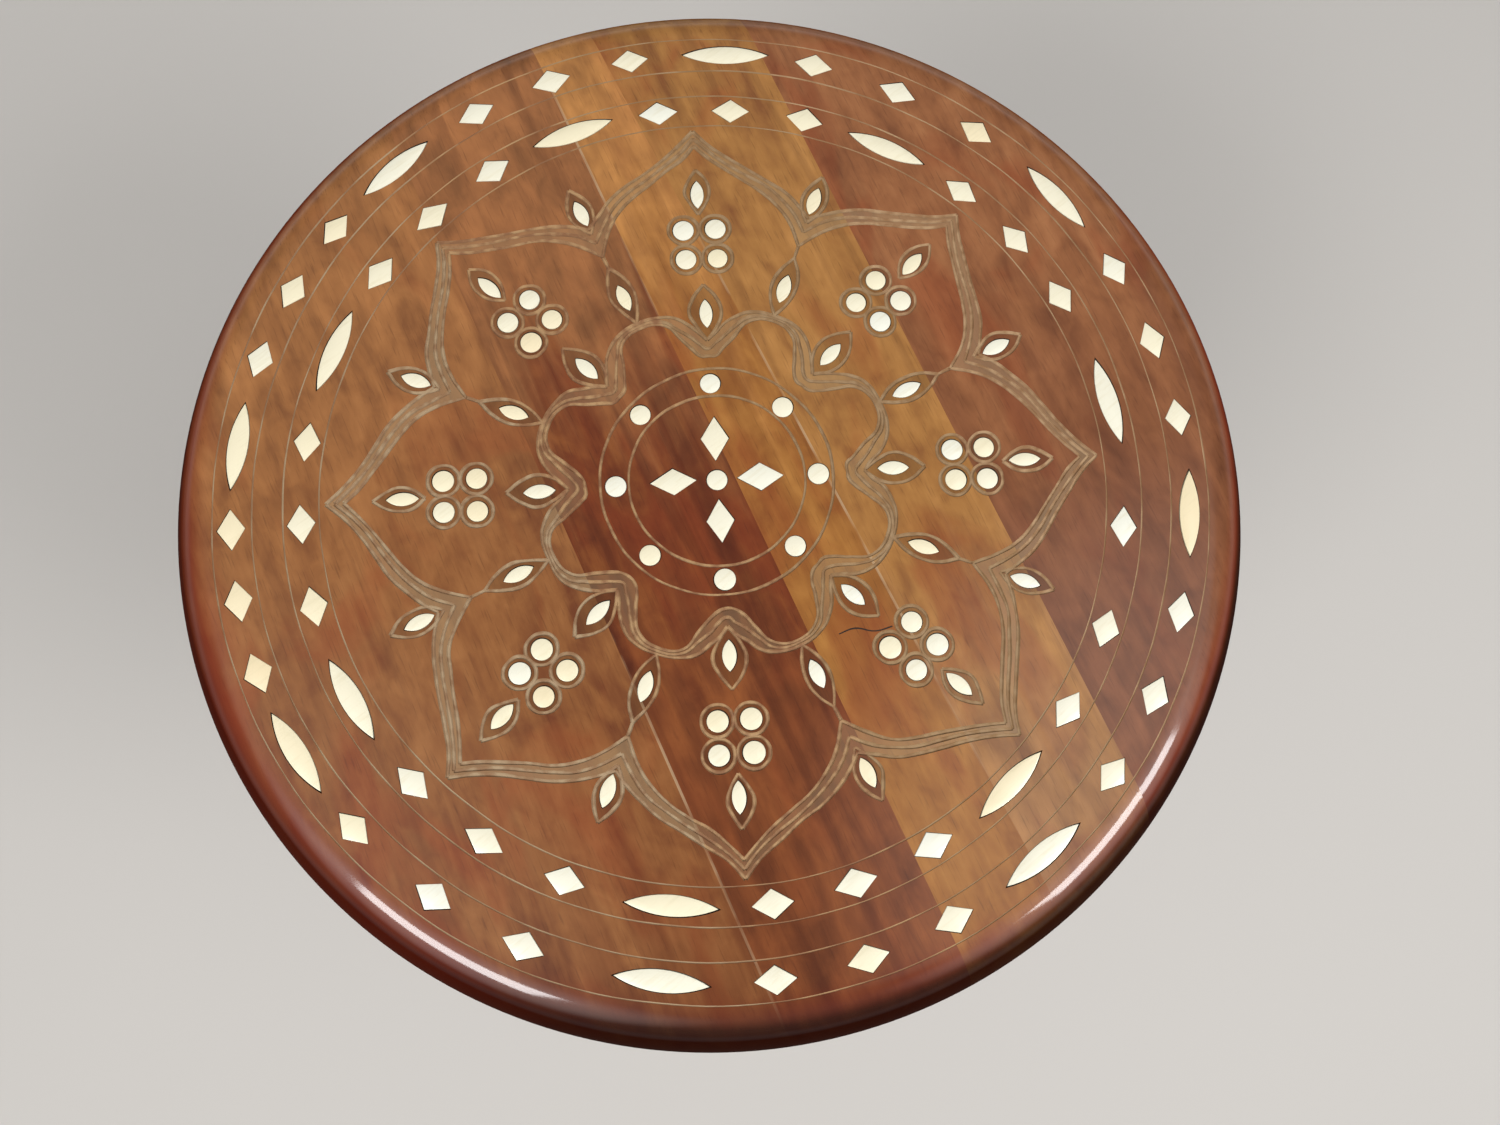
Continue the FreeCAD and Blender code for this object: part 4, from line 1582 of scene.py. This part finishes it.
    def sawn(self, carved: Mesh, left: Place | None, right: Place | None) -> BMesh:
        """Saws one board out of the carved disc.

        Args:
            carved: The carved disc.
            left: The joint on its left, or nothing at the rim.
            right: The joint on its right, or nothing at the rim.

        Returns:
            The board, closed at its joints.
        """
        bm = bmesh.new()
        bm.from_mesh(carved)
        for joint, sign in ((left, -1), (right, 1)):
            if joint is None:
                continue
            distance, skew = joint
            spot = Vector(polar(distance, self.across_turn)).to_3d()
            normal = Vector(polar(sign, self.across_turn + skew)).to_3d()
            everything = bm.verts[:] + bm.edges[:] + bm.faces[:]
            made = bmesh.ops.bisect_plane(
                bm, geom=everything, dist=SAW_MM, plane_co=spot, plane_no=normal, clear_outer=True
            )
            section = [item for item in made["geom_cut"] if isinstance(item, BMEdge)]
            bmesh.ops.edgeloop_fill(bm, edges=section)
        return bm

    def mark_ground(self, bm: BMesh) -> None:
        """Marks the islands of the flat that lie between carved lines as what most of each one is.

        Args:
            bm: One board.
        """
        wood = BoardFace.WOOD.value
        flat = [face for face in bm.faces if face.normal.z > FLAT_NORMAL and face.material_index == wood]
        waiting = set(bmesh.ops.triangulate(bm, faces=flat)["faces"])
        while waiting:
            island = self.island(waiting)
            areas = {kind: 0.0 for kind in BoardFace}
            for face in island:
                middle = face.calc_center_median()
                areas[self.carving.ground_at(middle.x, middle.y)] += face.calc_area()
            most = max(areas, key=areas.get)
            for face in island:
                face.material_index = most.value

    def island(self, waiting: set[BMFace]) -> list[BMFace]:
        """Takes one connected patch out of a set of faces.

        Args:
            waiting: The faces, which lose the patch.

        Returns:
            The patch.
        """
        found = [waiting.pop()]
        for face in found:
            for edge in face.edges:
                for beside in edge.link_faces:
                    if beside in waiting:
                        waiting.remove(beside)
                        found.append(beside)
        return found

    def finishes(self, number: int, wood: WoodFinish, pocket: Material) -> list[Material]:
        """Makes the finishes of one board, in the order that BoardFace gives.

        Args:
            number: The board's number.
            wood: Its timber.
            pocket: Finish inside the pockets.

        Returns:
            The finishes.
        """
        polish = {"light": wood.line, "dark": wood.hairline, "roughness": self.polish_roughness}
        scored = DullFinish(f"polish_in_hairlines_{number}", grit=self.hairline_grit, **polish)
        cut = DullFinish(f"polish_in_cuts_{number}", grit=self.cut_grit, **polish)
        ribbon = wood.material(Tint("ribbon", self.dust_colour, wood.dust))
        surround = wood.material(self.surround)
        return [wood.material(), scored.material(), cut.material(), pocket, ribbon, surround]

    def build(self, woods: Sequence[WoodFinish], bone: Material, pocket: Material) -> None:
        """Makes the five boards and the inlays.

        Args:
            woods: Finishes of the boards, from left to right.
            bone: Finish of the inlays.
            pocket: Finish inside the pockets.
        """
        carved = self.carved()
        sides = [None] + list(self.joints) + [None]
        for number, (wood, left, right) in enumerate(zip(woods, sides, sides[1:]), start=1):
            bm = self.sawn(carved, left, right)
            self.mark_ground(bm)
            for face in bm.faces:
                face.smooth = face.normal.z < FLAT_NORMAL
            piece = make_piece(f"carved_board_{number}", bm, self.finishes(number, wood, pocket))
            seat(piece, f"top_board_{number}")
        bpy.data.meshes.remove(carved)
        self.inlays.build(bone)


# Pedestal


@dataclass
class Base:
    """The pedestal under the top: bearers, block, column, legs, plate and screws, which keep their solids.

    Turns and dips are those of the grain, in degrees, and a seed is the part of the timber that a piece was
    cut from.
    """

    light: str = "8a5233"
    middle: str = "6c3a23"
    dark: str = "4a2415"
    heart: str = "35170d"
    heart_share: float = 0.5
    hidden_coat: float = 0.25
    bearer_turn: float = 20.5
    bearer_seeds: tuple[float, ...] = (21.0, 22.0)
    block_turn: float = 110.0
    block_seed: float = 24.0
    column_dip: float = -90.0
    column_seed: float = 27.0
    leg_turns: tuple[float, ...] = (30.0, 150.0, 270.0)
    leg_dip: float = 42.0
    leg_seeds: tuple[float, ...] = (31.0, 32.0, 33.0)
    plate: SteelFinish = SteelFinish(
        "black_lacquered_steel", bright="141416", dull="2b2a29", metallic=0.0, gloss=0.38, marks=9.0
    )
    screws: SteelFinish = SteelFinish(
        "zinc_plated_steel", bright="b9b5ac", dull="8d8980", metallic=1.0, gloss=0.28, marks=2.5
    )

    def timber(self, name: str, seed: float, grain: Grain, coat: float = 1.0) -> Material:
        """Makes the stained wood of one piece of the base, with the varnish that its coat gives it."""
        tones = (self.light, self.middle, self.dark, self.heart, self.heart_share)
        return WoodFinish(name, *tones, seed, grain, coat=coat).material()

    def dress(self, node: str, material: Material) -> None:
        """Gives a solid its finish.

        Args:
            node: The solid.
            material: The finish.
        """
        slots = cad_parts[node].data.materials
        slots.clear()
        slots.append(material)
        log.info("%s: %s", node, material.name)

    def build(self) -> None:
        """Gives every piece of the base its finish."""
        for number, seed in enumerate(self.bearer_seeds, start=1):
            wood = self.timber(f"bearer_wood_{number}", seed, Grain(self.bearer_turn), self.hidden_coat)
            self.dress(f"bearer_{number}", wood)
        wood = self.timber("block_wood", self.block_seed, Grain(self.block_turn), self.hidden_coat)
        self.dress("column_block", wood)
        self.dress("column", self.timber("column_wood", self.column_seed, Grain(dip=self.column_dip)))
        for number, (seed, turn) in enumerate(zip(self.leg_seeds, self.leg_turns), start=1):
            wood = self.timber(f"leg_wood_{number}", seed, Grain(turn, self.leg_dip))
            self.dress(f"leg_{number}", wood)
        self.dress("spider_plate", self.plate.material())
        zinc = self.screws.material()
        for node in ("bearer_screws", "block_screws", "spider_screws"):
            self.dress(node, zinc)


@dataclass
class FeltPads:
    """Three pads of pressed felt under the feet."""

    numbers: tuple[int, ...] = (1, 2, 3)
    edge_round: float = 0.9
    edge_steps: int = 3
    sides: int = 48

    def build(self, felt: Material) -> None:
        """Makes each pad with a soft edge in the place of its plain solid.

        Args:
            felt: The finish.
        """
        for number in self.numbers:
            node = f"foot_pad_{number}"
            low, high = (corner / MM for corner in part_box(node))
            bm = bmesh.new()
            radius = (high.x - low.x) / 2
            bmesh.ops.create_cone(
                bm,
                cap_ends=True,
                segments=self.sides,
                radius1=radius,
                radius2=radius,
                depth=high.z - low.z,
                matrix=Matrix.Translation((low + high) / 2),
            )
            bmesh.ops.bevel(
                bm,
                geom=[edge for edge in bm.edges if abs(edge.verts[0].co.z - edge.verts[1].co.z) < WELD_MM],
                offset=self.edge_round,
                segments=self.edge_steps,
                profile=0.5,
                affect="EDGES",
                material=-1,
            )
            for face in bm.faces:
                face.smooth = True
            piece = make_piece(f"felt_pad_{number}", bm, [felt])
            seat(piece, node)


# Stage


@dataclass(frozen=True)
class Glow:
    """A soft bright patch of the room.

    Attributes:
        way: Where it is, seen from the table.
        edge: How far from its middle it ends, in degrees.
        core: How far from its middle it is full, in degrees.
        level: How bright it is there.
    """

    way: Way
    edge: float
    core: float
    level: float


@dataclass
class Studio:
    """Pale floor, soft lamps and the camera, which looks down on the top as the photograph does.

    Lengths are in metres, apart from the camera's lens and film in mm. Turns are in degrees.
    """

    # Ways to the two lamps, seen from the table
    LEFT_WAY = (-0.475, -0.518, 0.71)
    RIGHT_WAY = (0.63, -0.39, 0.68)

    eye: Way = (-0.0067, -0.0999, 0.8587)
    turns: Way = (11.145, -1.699, -4.283)
    lens: float = 25.55
    film: float = 36.0
    nearest: float = 0.01
    floor_half: float = 15.0
    floor_colour: str = "c9c5c0"
    floor_roughness: float = 0.7
    aim: Way = (0.0, 0.0, 0.5)
    lamp_reach: float = 1.7
    lamp_size: Size = (0.62, 0.4)
    lamp_watts: float = 11.8
    lamp_ways: tuple[Way, ...] = (LEFT_WAY, RIGHT_WAY)
    glows: tuple[Glow, ...] = (
        Glow((-0.45, -0.2, 0.87), 26.0, 8.0, 0.55),
        Glow((0.4, -0.08, 0.91), 21.0, 6.0, 1.1),
        Glow(LEFT_WAY, 28.0, 8.0, 1.5),
        Glow(RIGHT_WAY, 28.0, 8.0, 1.5),
    )
    # Share of the way from straight down to straight up, and the light there
    sky_stops: tuple[Place, ...] = (
        (0.0, 0.14), (0.52, 0.14), (0.75, 0.17), (0.9, 0.34), (0.96, 0.3), (1.0, 0.24)
    )
    backdrop_colour: str = "c8c8ca"
    backdrop_level: float = 0.42
    backdrop_span: Span = (0.04, 0.32)

    def build(self) -> None:
        """Sets the stage."""
        self.floor()
        self.lamps()
        self.world()
        self.camera()
        bpy.context.scene.view_settings.view_transform = "Standard"

    def floor(self) -> None:
        """Lays the plain pale floor."""
        bm = bmesh.new()
        bmesh.ops.create_grid(bm, x_segments=2, y_segments=2, size=self.floor_half)
        mesh = bpy.data.meshes.new("floor")
        bm.to_mesh(mesh)
        bm.free()
        material, _, shader = blank_material("pale_floor")
        shader.inputs["Base Color"].default_value = linear(self.floor_colour)
        shader.inputs["Roughness"].default_value = self.floor_roughness
        mesh.materials.append(material)
        make_object("floor", mesh)

    def lamps(self) -> None:
        """Hangs the two soft lamps."""
        aim = Vector(self.aim)
        for number, way in enumerate(self.lamp_ways, start=1):
            data = bpy.data.lights.new(f"lamp_{number}", "AREA")
            data.shape = "RECTANGLE"
            data.size, data.size_y = self.lamp_size
            data.energy = self.lamp_watts
            lamp = bpy.data.objects.new(data.name, data)
            lamp.location = aim + Vector(way).normalized() * self.lamp_reach
            lamp.rotation_euler = (aim - lamp.location).to_track_quat("-Z", "Y").to_euler()
            bpy.context.scene.collection.objects.link(lamp)

    def world(self) -> None:
        """Fills the room with soft light, and shows a plain pale backdrop to the camera.

        Mirrored rays see the room with a pale band above the horizon, which lights nothing else.
        """
        world = bpy.data.worlds.new("soft_room")
        world.use_nodes = True
        bpy.context.scene.world = world
        tree = world.node_tree
        way = add_node(tree, "ShaderNodeTexCoord").outputs["Generated"]
        height = add_node(tree, "ShaderNodeSeparateXYZ", [way]).outputs[2]
        share = add_node(tree, "ShaderNodeMapRange", [height, -1.0, 1.0]).outputs[0]
        stops = [(place, (level, level, level, 1.0)) for place, level in self.sky_stops]
        sky = add_node(tree, "ShaderNodeValToRGB", [share], stops=stops).outputs[0]
        for glow in self.glows:
            inputs = [way, Vector(glow.way).normalized()]
            near = add_node(tree, "ShaderNodeVectorMath", inputs, operation="DOT_PRODUCT").outputs[1]
            edge, core = (math.cos(math.radians(angle)) for angle in (glow.edge, glow.core))
            inputs = [near, edge, core, 0.0, glow.level]
            level = add_node(tree, "ShaderNodeMapRange", inputs, interpolation_type="SMOOTHSTEP").outputs[0]
            inputs = {0: 1.0, 6: sky, 7: level}
            sky = add_node(tree, "ShaderNodeMix", inputs, data_type="RGBA", blend_type="ADD").outputs[2]
        rays = add_node(tree, "ShaderNodeLightPath").outputs
        inputs = [rays["Is Glossy Ray"], rays["Is Transmission Ray"]]
        mirrored = add_node(tree, "ShaderNodeMath", inputs, operation="MAXIMUM").outputs[0]
        inputs = [height, *self.backdrop_span, self.backdrop_level, 0.0]
        pale = add_node(tree, "ShaderNodeMapRange", inputs, interpolation_type="SMOOTHSTEP").outputs[0]
        inputs = {0: mirrored, 6: sky, 7: pale}
        sky = add_node(tree, "ShaderNodeMix", inputs, data_type="RGBA", blend_type="ADD").outputs[2]
        inputs = {0: rays["Is Camera Ray"], 6: sky, 7: linear(self.backdrop_colour)}
        sky = add_node(tree, "ShaderNodeMix", inputs, data_type="RGBA").outputs[2]
        tree.links.new(sky, tree.nodes["Background"].inputs["Color"])

    def camera(self) -> None:
        """Stands the camera where the photograph was taken."""
        data = bpy.data.cameras.new("camera")
        data.lens = self.lens
        data.sensor_width = self.film
        data.clip_start = self.nearest
        camera = bpy.data.objects.new("camera", data)
        camera.location = self.eye
        camera.rotation_euler = Euler([math.radians(turn) for turn in self.turns])
        bpy.context.scene.collection.objects.link(camera)
        bpy.context.scene.camera = camera


# The whole table


def board_woods(top: InlaidTop) -> list[WoodFinish]:
    """Chooses the timber of the five boards.

    Args:
        top: The top, which says how the grain runs and where the glue shows.

    Returns:
        The timbers, from left to right.
    """
    first, second, third = top.glue_lines()
    shared = {"grain": top.grain(), "rim": RimStainAndShade()}
    return [
        WoodFinish(
            "sheesham_board_1",
            light="98653a",
            middle="85532d",
            dark="68371e",
            heart="552a18",
            heart_share=0.2,
            seed=2.0,
            line="a38b6c",
            hairline="8a6848",
            dust=0.36,
            # The paler far end is partly sapwood and partly painted reflection of the pale room
            ends=(EndTone("a26d3f", -60.0, 140.0, 0.6), EndTone("643419", -80.0, -170.0, 0.6)),
            glues=(first,),
            **shared,
        ),
        WoodFinish(
            "sheesham_board_2",
            light="844b23",
            middle="693318",
            dark="4b1c0d",
            heart="391107",
            heart_share=0.35,
            seed=5.3,
            line="a8865e",
            hairline="845c3c",
            dust=0.22,
            ends=(EndTone("96623a", 5.0, 105.0, 0.85), EndTone("7d4624", -10.0, -90.0, 0.6)),
            glues=(first, second),
            **shared,
        ),
        WoodFinish(
            "sheesham_board_3",
            light="ab7539",
            middle="97622d",
            dark="7c4820",
            heart="6b3a18",
            heart_share=0.2,
            seed=9.1,
            line="9a7d59",
            hairline="866541",
            dust=0.3,
            ends=(EndTone("b98149", 0.0, 120.0, 0.65),),
            glues=(second, third),
            **shared,
        ),
        WoodFinish(
            "sheesham_board_4",
            light="b17d44",
            middle="9d6c38",
            dark="7e4e29",
            heart="5d341a",
            heart_share=0.25,
            seed=12.7,
            line="9a7e5c",
            hairline="886844",
            dust=0.3,
            ends=(EndTone("855d40", -50.0, -150.0, 0.5),),
            glues=(third,),
            **shared,
        ),
        WoodFinish(
            "sheesham_board_5",
            light="a06a43",
            middle="8d5936",
            dark="704227",
            heart="562d19",
            heart_share=0.2,
            seed=16.4,
            line="aa8b68",
            hairline="8d6946",
            dust=0.36,
            ends=(EndTone("6b3d27", 60.0, -90.0, 0.7),),
            **shared,
        ),
    ]


def main() -> None:
    """Builds the table's looks and the stage."""
    logging.basicConfig(level=logging.INFO, format="%(name)s %(message)s")
    glue = DullFinish("dark_glue", light="2e1c12", dark="1c110b", grit=1.0, roughness=0.6)
    felt = DullFinish(
        "pressed_felt", light="54453a", dark="3a2f28", grit=0.8, roughness=0.95, sheen=0.3, fluff=0.2
    )
    top = InlaidTop()
    top.build(board_woods(top), BoneFinish().material(), glue.material())
    Base().build()
    FeltPads().build(felt.material())
    Studio().build()


if __name__ == "__main__":
    main()
